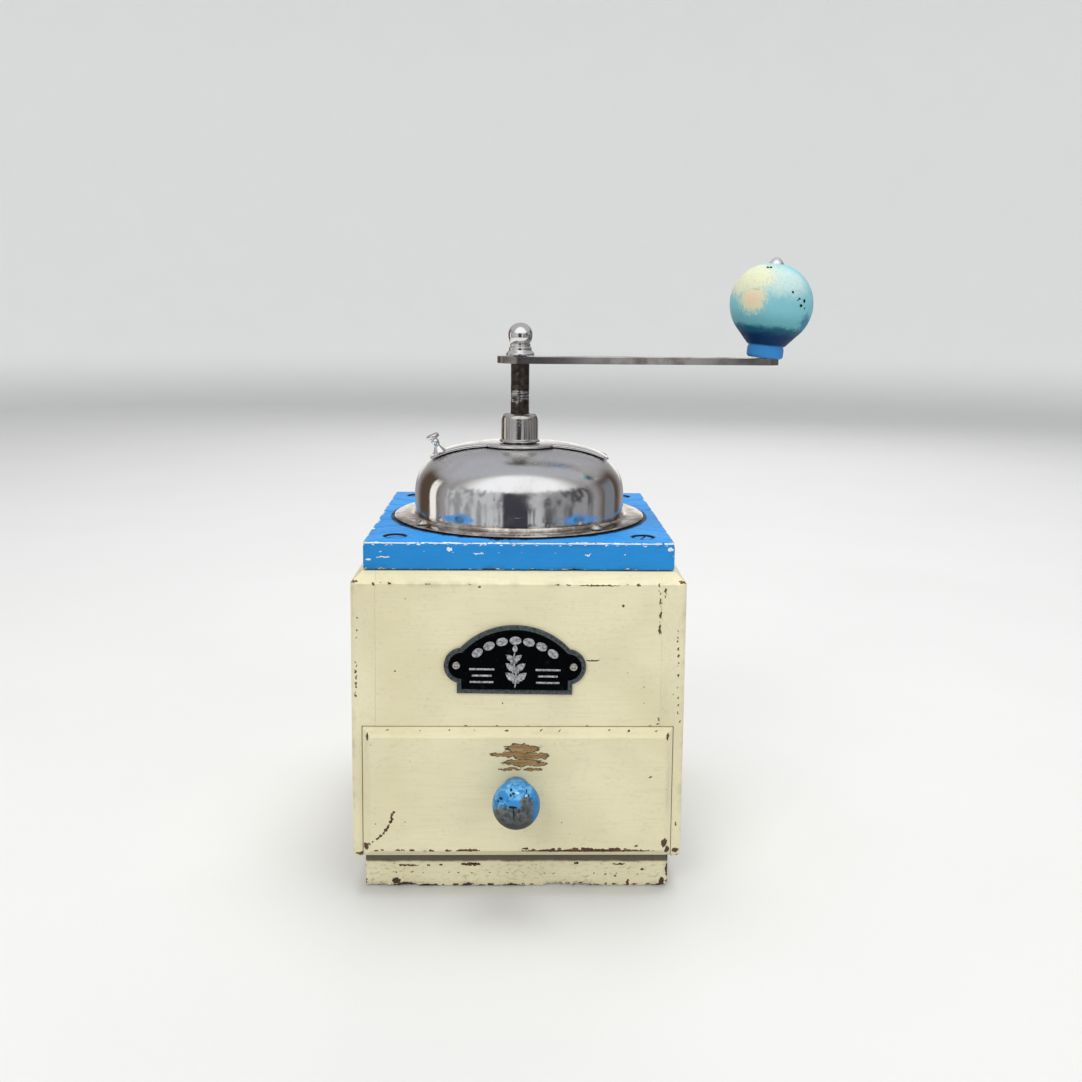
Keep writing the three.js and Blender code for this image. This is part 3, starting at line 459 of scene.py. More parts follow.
CREAM = (0.76, 0.70, 0.475)
CREAM_DARK = (0.60, 0.54, 0.335)
BLUE = (0.02, 0.25, 0.64)
PRIMER = (0.74, 0.73, 0.66)
PRIMER_SHOWS = (0.715, 0.73)
WOOD_SHOWS = (0.745, 0.77)
ALONG_X = (16, 1, 1)
ALONG_Y = (1, 16, 1)


def painted_wood(name, paint, shadow, low, high, grain, marks=(), edge=0.24, primer=None, wood=OLD_WOOD,
                 rims=(), depth=1.05, grime=0.4, coat=0.12, shine=0.5, overhang_shadow=None, frayed=None):
    """Old brush paint on wood: streaks, grime by the edges, chips along them and at each mark.

    rims are extra edges, as heights in millimetres. A primer shows round each chip if one is given.
    depth says how far a mark has worn, against PRIMER_SHOWS and WOOD_SHOWS.
    overhang_shadow is two heights between which the paint darkens: a painted shadow, with some grime.
    frayed is a lower and an upper height between which an edge takes the primer's colour:
    paint rubbed to the primer, and a painted highlight along the edge.
    """
    shader = Shader(name)
    distance = shader.edge_distance(low, high)
    height = shader.height()
    for rim in rims:
        above = shader.math("ABSOLUTE", shader.minus(height, rim))
        distance = shader.math("MINIMUM", distance, shader.plus(above, 0.9))
    near = shader.step(distance, 2.2, 0.1)
    blotches = shader.noise(9, detail=5, roughness=0.62)
    flakes = shader.noise(1.1, stretch=tuple(1 + 0.06 * g for g in grain), detail=4, roughness=0.68)
    worn = shader.plus(shader.times(blotches, 0.55), shader.times(flakes, 0.45))
    worn = shader.plus(worn, shader.times(near, edge))
    if marks:
        inside = shader.nearest(marks, shader.ragged(1.1, 1.7))
        worn = shader.math("MAXIMUM", worn, shader.step(inside, 1.35, 0.55, 0.4, depth))
    # Partly a painted highlight: a ragged primer-coloured band along the top edge, for a lit edge as well as
    # rubbed paint.
    if frayed:
        rubbed = shader.times(shader.step(height, frayed[0], frayed[0] + 0.15),
                              shader.step(height, frayed[1], frayed[1] - 0.15))
        rubbed = shader.times(rubbed, shader.step(flakes, 0.38, 0.42))
        outwards = shader.math("MAXIMUM", *(shader.math("ABSOLUTE", axis) for axis in shader.axes()[:2]))
        rubbed = shader.times(rubbed, shader.step(outwards, (high.x - 1.4) * MM, (high.x - 1.2) * MM))
        worn = shader.math("MAXIMUM", worn, shader.times(rubbed, 0.74))
    opened = shader.step(worn, *PRIMER_SHOWS)
    bared = shader.step(worn, *WOOD_SHOWS)
    streaks = shader.noise(0.9, stretch=grain, detail=4, roughness=0.6)
    broad = shader.noise(34, detail=2)
    colour = shader.mix(shader.step(broad, 0.3, 0.75, 0, 0.5), paint, shadow)
    colour = shader.mix(shader.step(streaks, 0.42, 0.75, 0, 0.3), colour, shadow)
    dirt = shader.times(shader.step(distance, 3.2, 0), shader.step(blotches, 0.44, 0.68))
    smudges = shader.times(shader.step(flakes, 0.5, 0.66), shader.step(blotches, 0.36, 0.62))
    dirt = shader.math("MAXIMUM", shader.times(dirt, 0.4), shader.times(smudges, 0.5 * grime))
    colour = shader.mix(dirt, colour, tuple(0.4 * c for c in shadow))
    specks = shader.times(shader.pits(6.5, 0.06), shader.step(broad, 0.48, 0.6))
    colour = shader.mix(shader.times(specks, 0.75), colour, tuple(0.4 * c for c in wood))
    wood_grain = shader.noise(0.55, stretch=grain, detail=4, roughness=0.7)
    bare = shader.mix(shader.step(wood_grain, 0.35, 0.62), tuple(0.16 * c for c in wood), wood)
    bare = shader.mix(shader.step(blotches, 0.42, 0.6, 0, 0.6), bare, tuple(0.2 * c for c in wood))
    # Painted shadow with some grime: the paint darkens in a band between two heights, as under an overhang.
    if overhang_shadow:
        shadow_height = shader.plus(height, shader.times(blotches, 1.5))
        colour = shader.mix(shader.step(shadow_height, overhang_shadow[0], overhang_shadow[1], 0, 0.9), colour, (0.035, 0.02, 0.012))
    colour = shader.mix(opened, colour, primer or tuple(0.12 * c for c in wood))
    colour = shader.mix(bared, colour, bare)
    roughness = shader.step(flakes, 0.3, 0.7, 0.36, 0.5)
    roughness = shader.mix(opened, roughness, (0.8, 0.8, 0.8))
    relief = shader.bump(shader.minus(1, opened), 0.16)
    relief = shader.bump(streaks, 0.04, relief)
    relief = shader.bump(shader.times(wood_grain, opened), 0.08, relief)
    return shader.surface(colour, roughness, 0, relief, coat=coat, coat_roughness=0.25, shine=shine)


def bare_wood(name="bare_wood", grain=ALONG_Y, light=(0.47, 0.30, 0.15), dark=(0.26, 0.14, 0.06)):
    shader = Shader(name)
    fibres = shader.noise(0.8, stretch=grain, detail=5, roughness=0.65)
    rings = shader.noise(6, stretch=tuple(0.4 * g + 0.6 for g in grain), detail=3)
    colour = shader.mix(shader.step(fibres, 0.3, 0.7), dark, light)
    colour = shader.mix(shader.step(rings, 0.42, 0.7, 0, 0.5), colour, dark)
    stain = shader.step(shader.noise(22, detail=3), 0.5, 0.75, 0, 0.55)
    colour = shader.mix(stain, colour, (0.09, 0.045, 0.02))
    return shader.surface(colour, shader.step(fibres, 0.3, 0.7, 0.6, 0.8), 0, shader.bump(fibres, 0.09))


def chrome(name, tint=(0.76, 0.755, 0.75), stain=(0.34, 0.27, 0.21), polish=0.07, stained=0.35, pitted=0.0,
           low=0, high=0):
    """Old chrome plate: fine scratches, soft tarnish, and small pits where pitted is over 0.

    Where high and low differ, the stain grows from the height high down to the height low: a painted brown
    reflection at the foot.
    """
    shader = Shader(name)
    clouds = shader.noise(13, detail=5, roughness=0.6)
    share = shader.step(clouds, 0.48, 0.76, 0, stained)
    # Painted reflection: the stain colour grows down towards the low height.
    if high > low:
        height = shader.height()
        share = shader.plus(share, shader.step(height, high, low, 0, stained), clamp=True)
    colour = shader.mix(share, tint, stain)
    hair = shader.noise(0.35, stretch=(1, 1, 22), detail=2)
    cross = shader.noise(0.35, stretch=(22, 22, 1), detail=2)
    scratches = shader.step(shader.math("MAXIMUM", hair, cross), 0.63, 0.8)
    hazy = shader.step(clouds, 0.35, 0.75, polish, polish + 0.13)
    roughness = shader.plus(hazy, shader.times(scratches, 0.12))
    normal = shader.bump(scratches, 0.004, shader.bump(shader.noise(26, detail=1), 0.1))
    if pitted:
        holes = shader.times(shader.pits(0.9, 0.3), shader.step(clouds, 0.62 - 0.2 * pitted, 0.66))
        colour = shader.mix(holes, colour, (0.02, 0.017, 0.014))
        roughness = shader.plus(roughness, shader.times(holes, 0.5), clamp=True)
        normal = shader.bump(shader.minus(1, holes), 0.12, normal)
    return shader.surface(colour, roughness, 1, normal)


def dark_steel():
    """The shaft: brown-black steel with turning marks, rubbed bright in short bands round it."""
    shader = Shader("dark_steel")
    rings = shader.noise(0.45, stretch=(14, 14, 1), detail=4, roughness=0.7)
    patches = shader.noise(3.5, stretch=(1, 1, 0.7), detail=4, roughness=0.65)
    rubbed = shader.plus(shader.times(rings, 0.6), shader.times(patches, 0.4))
    height = shader.height()
    band = shader.band(height, 189.5, 4.5, 1)
    rubbed = shader.plus(rubbed, shader.times(band, 0.12))
    bright = shader.step(rubbed, 0.58, 0.68)
    colour = shader.mix(shader.step(patches, 0.35, 0.7), (0.05, 0.04, 0.032), (0.14, 0.115, 0.095))
    colour = shader.mix(bright, colour, (0.62, 0.60, 0.57))
    return shader.surface(colour, shader.step(rubbed, 0.4, 0.7, 0.42, 0.24), 1, shader.bump(rings, 0.05))


def plain_steel(name, colour, dull=0.32, grain=0.02):
    shader = Shader(name)
    marks = shader.noise(0.5, stretch=(6, 6, 1), detail=3)
    clouds = shader.noise(5, detail=4, roughness=0.6)
    shade_colour = shader.mix(shader.step(clouds, 0.4, 0.72, 0, 0.6), colour, tuple(0.4 * c for c in colour))
    roughness = shader.step(marks, 0.3, 0.7, dull - 0.08, dull + 0.1)
    return shader.surface(shade_colour, roughness, 1, shader.bump(marks, grain))


def cast_iron():
    shader = Shader("cast_iron")
    sand = shader.noise(0.7, detail=5, roughness=0.7)
    clouds = shader.noise(8, detail=3)
    colour = shader.mix(shader.step(clouds, 0.45, 0.7), (0.06, 0.06, 0.062), (0.11, 0.075, 0.05))
    return shader.surface(colour, shader.step(sand, 0.3, 0.7, 0.55, 0.8), 0.7, shader.bump(sand, 0.16))


def plate_field():
    """The name plate's black ground, rubbed and speckled."""
    shader = Shader("plate_field")
    rub = shader.noise(2.2, detail=5, roughness=0.7)
    grain = shader.noise(0.35, detail=2)
    colour = shader.mix(shader.step(rub, 0.58, 0.74, 0, 0.5), (0.0005, 0.0007, 0.001), (0.016, 0.019, 0.022))
    roughness = shader.step(rub, 0.35, 0.7, 0.35, 0.55)
    return shader.surface(colour, roughness, 0, shader.bump(grain, 0.03), shine=0.03)


def pewter(name, dull, bright, metallic):
    """The name plate's raised metal, dull in its hollows."""
    shader = Shader(name)
    rub = shader.noise(1.1, detail=5, roughness=0.7)
    grain = shader.noise(0.3, detail=3)
    colour = shader.mix(shader.step(rub, 0.36, 0.6), dull, bright)
    return shader.surface(colour, shader.step(rub, 0.3, 0.7, 0.5, 0.34), metallic, shader.bump(grain, 0.04))


def knob_paint():
    """The crank knob, in its own axes: teal and aqua, navy below as painted shade, rubbed to cream at the
    upper left.
    """
    shader = Shader("knob_paint")
    soft = shader.noise(3.2, stretch=(1, 1, 0.45), detail=4, roughness=0.6)
    strokes = shader.noise(0.75, stretch=(1, 1, 9), detail=3, roughness=0.6)
    fine = shader.noise(0.8, detail=4, roughness=0.7)
    height = shader.height()
    shaken = shader.swayed(height, soft, 3.4)
    upper = shader.step(height, 21, 29)
    # Painted shade: the ball's underside darkens to navy, through dark teal, below the teal and aqua paint.
    colour = shader.mix(shader.step(height, 5.1, 6.0), (0.04, 0.215, 0.52), (0.001, 0.024, 0.085))
    colour = shader.mix(shader.step(shaken, 9.2, 12.4), colour, (0.008, 0.09, 0.15))
    colour = shader.mix(shader.step(shaken, 12.2, 14.6), colour, (0.13, 0.36, 0.41))
    colour = shader.mix(shader.step(shaken, 14.2, 21), colour, (0.20, 0.48, 0.54))
    stroke_share = shader.times(shader.step(strokes, 0.44, 0.74, 0, 0.4), upper)
    colour = shader.mix(stroke_share, colour, (0.52, 0.74, 0.72))
    # A painted highlight: a pale patch on the ball's upper front.
    painted_highlight = shader.nearest(KNOB_HIGHLIGHT, shader.ragged(4, 6))
    painted_highlight = shader.swayed(painted_highlight, strokes, 1.1)
    colour = shader.mix(shader.step(painted_highlight, 1.15, 0.45, 0, 0.62), colour, (0.60, 0.69, 0.63))
    rubbed = shader.nearest(KNOB_RUBS, shader.ragged(2.4, 5))
    frayed = shader.swayed(rubbed, strokes, 1.1)
    frayed = shader.swayed(frayed, fine, 0.6)
    colour = shader.mix(shader.step(frayed, 1.2, 0.66, 0, 0.88), colour, (0.66, 0.645, 0.43))
    warm = shader.nearest([KNOB_RUBS[0]], shader.ragged(2.6, 3))
    colour = shader.mix(shader.step(warm, 0.92, 0.1, 0, 0.85), colour, (0.74, 0.55, 0.36))
    scratches = shader.step(shader.noise(0.8, stretch=(7, 7, 1), detail=3), 0.6, 0.76, 0, 0.4)
    colour = shader.mix(shader.times(scratches, upper), colour, (0.22, 0.22, 0.17))
    dark_hairs = shader.step(shader.noise(0.55, stretch=(1, 1, 5), detail=3), 0.64, 0.74, 0, 0.45)
    colour = shader.mix(shader.times(dark_hairs, upper), colour, (0.16, 0.24, 0.24))
    shaded = shader.nearest([((12.5, -9, 16.5), (3.6, 8, 4.5))], shader.ragged(2, 3))
    shaded = shader.swayed(shaded, strokes, 2)
    colour = shader.mix(shader.step(shaded, 1.1, 0.5, 0, 0.75), colour, (0.02, 0.13, 0.25))
    mottled = shader.times(shader.step(fine, 0.5, 0.68, 0, 0.4), upper)
    colour = shader.mix(mottled, colour, (0.34, 0.37, 0.30))
    holes = shader.step(shader.nearest(KNOB_PITS, shader.ragged(0.7, 0.3)), 1.15, 0.75)
    colour = shader.mix(holes, colour, (0.001, 0.012, 0.012))
    relief = shader.bump(shader.minus(1, holes), 0.5)
    relief = shader.bump(strokes, 0.045, relief)
    relief = shader.bump(shader.step(frayed, 0.74, 1.14), 0.08, relief)
    return shader.surface(colour, shader.step(soft, 0.3, 0.7, 0.42, 0.56), 0, relief, shine=0.12)


def drawer_knob_paint():
    """The drawer knob, in its own axes with +Z out of the drawer: blue above, rubbed to grey below, painted
    shade under it.
    """
    shader = Shader("drawer_knob_paint")
    soft = shader.noise(2.2, detail=4, roughness=0.65)
    fine = shader.noise(0.6, detail=4, roughness=0.65)
    colour = shader.mix(shader.step(soft, 0.38, 0.64), (0.015, 0.17, 0.42), (0.14, 0.40, 0.66))
    rubbed = shader.nearest(DRAWER_KNOB_RUBS, shader.ragged(1.8, 3.6))
    rubbed = shader.swayed(rubbed, fine, 0.5)
    grey = shader.mix(shader.step(soft, 0.35, 0.65), (0.03, 0.045, 0.05), (0.15, 0.145, 0.13))
    grey = shader.mix(shader.step(fine, 0.45, 0.7, 0, 0.5), grey, (0.06, 0.09, 0.10))
    colour = shader.mix(shader.step(rubbed, 1.06, 0.86), colour, grey)
    kept = shader.nearest(DRAWER_KNOB_ISLAND, shader.ragged(1.0, 1.5))
    colour = shader.mix(shader.step(kept, 1.05, 0.8), colour, (0.035, 0.21, 0.48))
    glints = shader.step(shader.nearest(DRAWER_KNOB_GLINTS, shader.ragged(0.7, 1)), 1.15, 0.6, 0, 0.65)
    colour = shader.mix(glints, colour, (0.72, 0.76, 0.72))
    cracks = shader.step(shader.nearest(DRAWER_KNOB_CRACKS, shader.ragged(0.6, 0.7)), 1.2, 0.8)
    colour = shader.mix(cracks, colour, (0.004, 0.014, 0.02))
    height = shader.height()
    # Painted shade: darker towards the foot, where the knob meets the drawer.
    colour = shader.mix(shader.step(height, 8, 4, 0, 0.55), colour, (0.10, 0.15, 0.19))
    across, up = (shader.math("DIVIDE", axis, MM) for axis in shader.axes()[:2])
    # Painted shade: the knob's lower half darkens to nearly black.
    colour = shader.mix(shader.step(up, 0.5, -7, 0, 0.9), colour, (0.012, 0.018, 0.02))
    colour = shader.mix(shader.step(across, 5, 7.2, 0, 0.85), colour, (0.002, 0.15, 0.37))
    relief = shader.bump(shader.minus(1, cracks), 0.25)
    relief = shader.bump(fine, 0.06, relief)
    return shader.surface(colour, shader.step(soft, 0.3, 0.7, 0.3, 0.5), 0, relief, shine=0.22)


def trail(depth, points, count, size, seed, radii=(1, 1)):
    """Small marks scattered along a line of [x, z] points on a face at y = depth."""
    pick = random.Random(seed)
    marks = []
    for i in range(count):
        place = (i + pick.uniform(0.1, 0.9)) / count * (len(points) - 1)
        step = min(int(place), len(points) - 2)
        start, end = Vector(points[step]), Vector(points[step + 1])
        x, z = start.lerp(end, place - step)
        grown = size * pick.uniform(0.45, 1.3)
        spread = 0.5 * size
        centre = (x + pick.uniform(-spread, spread), depth, z + pick.uniform(-spread, spread))
        marks.append((centre, (grown * radii[0], 1.4, grown * radii[1])))
    return marks


def spots(depth, reach, *marks):
    """Marks on a face at y = depth, each given as (x, z, half width, half height)."""
    return [((x, depth, z), (wide, reach, tall)) for x, z, wide, tall in marks]


# Marks, each a centre and three radii in millimetres.
KNOB_RUBS = [
    ((-11.3, -13.5, 24.2), (6.8, 7, 6.2)),
    ((-13.5, -6, 33), (13.5, 14, 8.8)),
]
# Where the crank knob's painted highlight lies.
KNOB_HIGHLIGHT = [((0.5, -13.5, 33), (14, 10, 8))]
KNOB_PITS = [
    ((4.7, -16, 28.4), (0.55, 1.2, 0.5)),
    ((8, -15.3, 26), (0.6, 1.2, 0.4)),
    ((7.2, -15.6, 25.3), (0.3, 1.2, 0.3)),
    ((10.4, -13.9, 25.4), (0.6, 1.2, 0.85)),
    ((9, -15, 23.3), (0.75, 1.2, 0.65)),
    ((11, -13.5, 22.4), (0.35, 1.2, 0.35)),
    ((-5.2, -7.9, 37.8), (0.5, 1.4, 0.5)),
    ((-4, -8.4, 37.9), (0.6, 1.4, 0.5)),
]
DRAWER_KNOB_RUBS = [
    ((-1.4, -3.9, 19.5), (9, 7.3, 9)),
    ((3.2, 1.6, 20.6), (4.5, 4.6, 4)),
]
DRAWER_KNOB_ISLAND = [((-0.5, 3.6, 21), (2.6, 1.4, 3)), ((-5.6, 5.6, 19), (2.4, 2.2, 4))]
DRAWER_KNOB_GLINTS = [((0.4, 7, 19), (0.9, 0.4, 1.2)), ((3.6, 5.9, 18.6), (0.6, 0.35, 1.2))]
DRAWER_KNOB_CRACKS = [
    ((-0.9, 0.4, 22.3), (0.25, 2, 1.6)),
    ((-1.3, 2.7, 21.8), (1.6, 0.45, 1.4)),
    ((0.9, 1.2, 22), (0.25, 0.7, 1.4)),
    ((-5.6, 4.7, 18.5), (0.75, 0.45, 1.2)),
    ((-6.6, 3.5, 18.3), (0.35, 0.35, 1.2)),
    ((-1.9, 7.6, 17.7), (0.45, 0.4, 1.2)),
    ((-1.1, 6.8, 19), (0.5, 0.35, 1.2)),
    ((-2, 6.3, 19.2), (0.35, 0.45, 1.2)),
    ((3.8, 7, 17.5), (0.25, 0.6, 1.2)),
    ((4.6, 5.6, 17.9), (0.3, 0.35, 1.2)),
]
FRONT = -CASE_HALF
FACE = DRAWER_LOW.y
PLINTH_FRONT = PLINTH_LOW.y
FRONT_MARKS = [
    *spots(FRONT, 1.2, (30, 122.5, 8, 0.3), (39.5, 114.7, 0.6, 0.6), (28.5, 93.2, 3, 0.35),
           (-47, 89, 0.4, 0.4), (-6, 76.5, 0.4, 0.35), (-49, 123, 0.7, 0.6), (-15, 121.8, 0.9, 0.3)),
    *trail(FRONT, [(53.2, 123), (54, 113), (53.6, 104)], 13, 0.42, 3, (0.8, 2)),
    *trail(FRONT, [(54, 71), (53.6, 66.9)], 4, 0.5, 4, (0.8, 1.6)),
    *trail(FRONT, [(12, 122.7), (48, 122.7)], 9, 0.35, 5, (2, 0.8)),
    *trail(FRONT, [(-30, 67.3), (52, 67.3)], 9, 0.3, 6, (2.2, 0.8)),
]
SIDE_MARKS_RIGHT = [
    *spots(FRONT + 1, 2, (62.3, 123.8, 1.6, 0.5)),
    *spots(FRONT, 1, (62.3, 69, 0.5, 0.5), (61.6, 28, 0.4, 1)),
    *spots(FRONT, 1.4, (61.8, 17.2, 1.6, 1)),
    *trail(FRONT, [(60.8, 106), (61.2, 92), (61.4, 70)], 12, 0.42, 7, (0.9, 1.5)),
    *trail(FRONT, [(55.8, 121), (55.4, 118)], 3, 0.4, 8, (0.8, 1.8)),
]
SIDE_MARKS_LEFT = [
    *spots(FRONT + 1, 2, (-62.4, 123.6, 1.6, 0.5)),
    *spots(FRONT, 1, (-55, 122.8, 0.7, 0.7)),
    *spots(FRONT, 1.4, (-60.5, 16, 2.4, 0.7)),
    *trail(FRONT, [(-61.8, 93), (-62, 78)], 9, 0.5, 9, (0.8, 1.6)),
    *trail(FRONT, [(-61.2, 112), (-61.6, 100)], 3, 0.35, 10),
]
DRAWER_MARKS = [
    *spots(FACE + 1.5, 2.5, (-58.4, 19.6, 1.3, 1.5)),
    *spots(FACE + 1, 2.5, (56.8, 21.6, 1.3, 1.9)),
    *spots(FACE + 1.5, 2.5, (58.2, 18.2, 1.2, 1.4)),
    *spots(FACE, 1.2, (27, 18.3, 28, 0.85), (-19, 18.7, 5, 0.6), (50.8, 48.3, 0.55, 0.4),
           (46, 20.3, 0.7, 0.45)),
    *spots(FACE + 1, 2.5, (-57.6, 63.8, 0.5, 1.8), (57.4, 63.9, 0.5, 1.5)),
    *trail(FACE, [(-47.6, 34.4), (-49.2, 29), (-52.2, 25), (-57.8, 20.4)], 19, 0.56, 11, (1, 1.1)),
    *trail(FACE, [(-56, 18.8), (-26, 18.6)], 8, 0.45, 12, (2.2, 0.9)),
    *trail(FACE, [(2, 19.2), (44, 19.2)], 12, 0.5, 13, (2.4, 0.9)),
    *trail(FACE + 1.4, [(-52, 66), (58, 66)], 10, 0.35, 14, (2, 0.8)),
]
BARE_PATCH = [
    *spots(FACE, 2, (1.6, 59.6, 6.2, 1.7), (-3.5, 57.3, 6.6, 0.9), (5, 56.6, 6.4, 1.2), (1.6, 54, 7, 1.4),
           (6.6, 53.4, 4.2, 0.8), (-3.4, 51.4, 4, 0.45), (5.6, 51.3, 3.2, 0.5)),
]
PLINTH_MARKS = [
    *spots(PLINTH_FRONT, 1.2, (-42.5, 8.8, 4.2, 0.5), (-34.8, 8.8, 0.8, 0.5), (-30, 9, 0.9, 0.45),
           (-18, 9.2, 4.2, 0.7), (-47.4, 2.4, 1.8, 1.2), (-43.5, 1, 4, 0.7), (23.6, 9.6, 1, 0.6),
           (40.2, 9.1, 2.6, 0.4), (49.4, 7, 0.7, 0.5), (38.7, 4.2, 0.7, 0.5), (43.8, 1.6, 0.6, 1.5)),
    *spots(PLINTH_FRONT, 1.6, (57.2, 2, 1.1, 1.9)),
    *trail(PLINTH_FRONT, [(-58, 0.8), (58, 0.8)], 26, 0.5, 15, (2.2, 1)),
    *trail(PLINTH_FRONT, [(-50, 6), (50, 5)], 16, 0.34, 16, (1.6, 0.8)),
]
PLATE_FRONT = PLATE_LOW.y
PLATE_MARKS = [
    *spots(PLATE_FRONT, 1.2, (-26.6, 135.4, 1.5, 1.2), (-15.5, 133.7, 3.4, 0.3), (-52, 132.2, 4, 0.25),
           (26.2, 133.3, 1.4, 0.5), (-57.4, 131.4, 1.6, 0.45)),
    *spots(PLATE_FRONT, 1.4, (57.8, 135.6, 1.6, 1.1)),
    *trail(PLATE_FRONT, [(-58, 137), (58, 137)], 26, 0.27, 17, (3.6, 0.8)),
    *trail(PLATE_FRONT, [(-56, 134.4), (50, 133.6)], 8, 0.21, 18, (2.6, 0.8)),
    *trail(PLATE_FRONT, [(-58, 127.6), (58, 127.6)], 16, 0.28, 19, (3, 0.8)),
]


# ---------------------------------------------------------------- case

CASE_BOX = (Vector((-CASE_HALF, -CASE_HALF, CASE_LOW.z)), Vector((CASE_HALF, CASE_HALF, CASE_TOP)))


def case_material(name, marks, grain):
    rims = (CASE_TOP - CASE_CHAMFER,)
    return painted_wood(name, CREAM, CREAM_DARK, *CASE_BOX, grain, marks, edge=0.13, rims=rims, grime=0.25)


def make_case():
    softened("side_panel_left", case_material("cream_left", SIDE_MARKS_LEFT, ALONG_Y), 0.12)
    softened("side_panel_right", case_material("cream_right", SIDE_MARKS_RIGHT, ALONG_Y), 0.12)
    softened("front_panel", case_material("cream_front", FRONT_MARKS, ALONG_X), 0.06, grow=(0.29, 0))
    softened("back_panel", case_material("cream_back", [], ALONG_X), 0.06, grow=(0.29, 0))


def square_loop(half, corner, spacing=0.8):
    """Points round a square with round corners, each with its outward direction."""
    straight = half - corner
    side = []
    count = round(2 * straight / spacing)
    for i in range(count):
        side.append((Vector((half, -straight + 2 * straight * i / count, 0)), Vector((1, 0, 0))))
    for i in range(6):
        angle = math.radians(15 * i)
        outward = Vector((math.cos(angle), math.sin(angle), 0))
        side.append((Vector((straight, straight, 0)) + corner * outward, outward))
    loop = []
    for quarter in range(4):
        turn = Matrix.Rotation(math.radians(90 * quarter), 3, "Z")
        loop += [(turn @ point, turn @ outward) for point, outward in side]
    return loop


def worn_rows(low, high, corner, ease, wear):
    """The sides of a square board as rows going up, with eased edges that wear has nibbled."""
    angles = [math.radians(a) for a in (0, 30, 60, 90)]
    rounding = [(ease * (1 - math.sin(a)), ease * (1 - math.cos(a))) for a in angles]
    levels = [(inset, low.z + rise) for inset, rise in rounding]
    levels += [(0, low.z + share * (high.z - low.z)) for share in (0.2, 0.35, 0.5, 0.65, 0.8)]
    levels += [(inset, high.z - rise) for inset, rise in reversed(rounding)]
    rows = []
    for inset, height in levels:
        row = []
        edge = max(0, 1 - min(height - low.z, high.z - height) / (2.5 * ease))
        inward = 1 if height < (low.z + high.z) / 2 else -1
        for point, outward in square_loop(high.x, corner):
            place = point - inset * outward + Vector((0, 0, height))
            ripple = noise.noise(place * 0.16) + 0.7 * noise.noise(place * 0.6)
            bite = wear * edge * max(0, ripple - 0.05)
            waver = 0.06 * noise.noise(place * 0.05)
            row.append(place - (bite + waver) * outward + Vector((0, 0, 0.8 * inward * bite)))
        rows.append(row)
    return rows


def make_plinth():
    low, high = PLINTH_LOW, PLINTH_HIGH
    rows = worn_rows(low, high, 0.9, 0.8, 0.9)
    shape = grid([[Vector((0, 0, low.z))]] + rows + [[Vector((0, 0, high.z))]])
    # The dark band just under the drawer's overhang is a painted shadow, with some grime.
    paint = painted_wood("cream_plinth", CREAM, CREAM_DARK, low, high, ALONG_X, PLINTH_MARKS, edge=0.22,
                         wood=RED_BROWN, grime=1.1, overhang_shadow=(10.6, 11.7))
    show("base_plinth", mesh_of("plinth", shape), paint)


def ring_row(row, radius, height):
    """A row's points drawn in to a circle, each kept at its own bearing."""
    return [Vector((point.x, point.y, 0)).normalized() * radius + Vector((0, 0, height)) for point in row]


def shade_and_dirt_rings(material, rings):
    """Painted contact shade with some dirt: thin dark rings on a level face, each [x, y, inner radius, outer
    radius].
    """
    shader = Shader.reopened(material)
    colour = shader.feeding("Base Color")
    across, along = (shader.math("DIVIDE", axis, MM) for axis in shader.axes()[:2])
    waver = shader.noise(6, detail=3)
    for x, y, inner, outer in rings:
        side = shader.minus(across, x)
        ahead = shader.minus(along, y)
        square = shader.plus(shader.times(side, side), shader.times(ahead, ahead))
        away = shader.swayed(shader.math("SQRT", square), waver, 0.9)
        ring = shader.times(shader.step(away, inner - 0.4, inner), shader.step(away, outer, outer - 0.6))
        colour = shader.mix(shader.times(ring, 0.92), colour, (0.012, 0.014, 0.018))
    shader.refeed("Base Color", colour)


def make_top_plate():
    low, high = PLATE_LOW, PLATE_HIGH
    seat = extent("burr_housing")[1].z - 2.8
    rows = worn_rows(low, high, 0.9, 0.8, 0.8)
    hole = [(40.2, high.z), (40.2, seat), (30, seat), (30, low.z)]
    rows += [ring_row(rows[-1], radius, height) for radius, height in hole]
    shape = grid(rows, closed=True)
    screws = [centre_of(f"top_plate_screw_{i}") for i in range(1, 5)]
    sink = turned([(0, high.z - 1.6), (4.25, high.z - 1.6), (4.5, high.z + 1), (0, high.z + 1)], 48)
    sinks = [moved(sink, Matrix.Translation((spot.x, spot.y, 0))) for spot in screws]
    # The frayed band on the plate's top chamfer is partly a painted highlight along its edges.
    paint = painted_wood("blue_plate", BLUE, tuple(0.7 * c for c in BLUE), low, high, ALONG_X, PLATE_MARKS,
                         edge=0.17, primer=PRIMER, depth=0.742, grime=0.2, coat=0, shine=0.16,
                         frayed=(137.3, 138))
    flange = DOME_HIGH.x
    # Painted contact shade, with some dirt: dark rings round the dome's flange and round each sunk screw
    # head.
    shade_and_dirt_rings(paint, [(0, 0, flange - 1, flange + 1.9)] + [(spot.x, spot.y, 4.1, 5.3) for spot in screws])
    show("top_plate", carved(mesh_of("plate", shape), sinks), paint)
    make_plate_screws(screws)


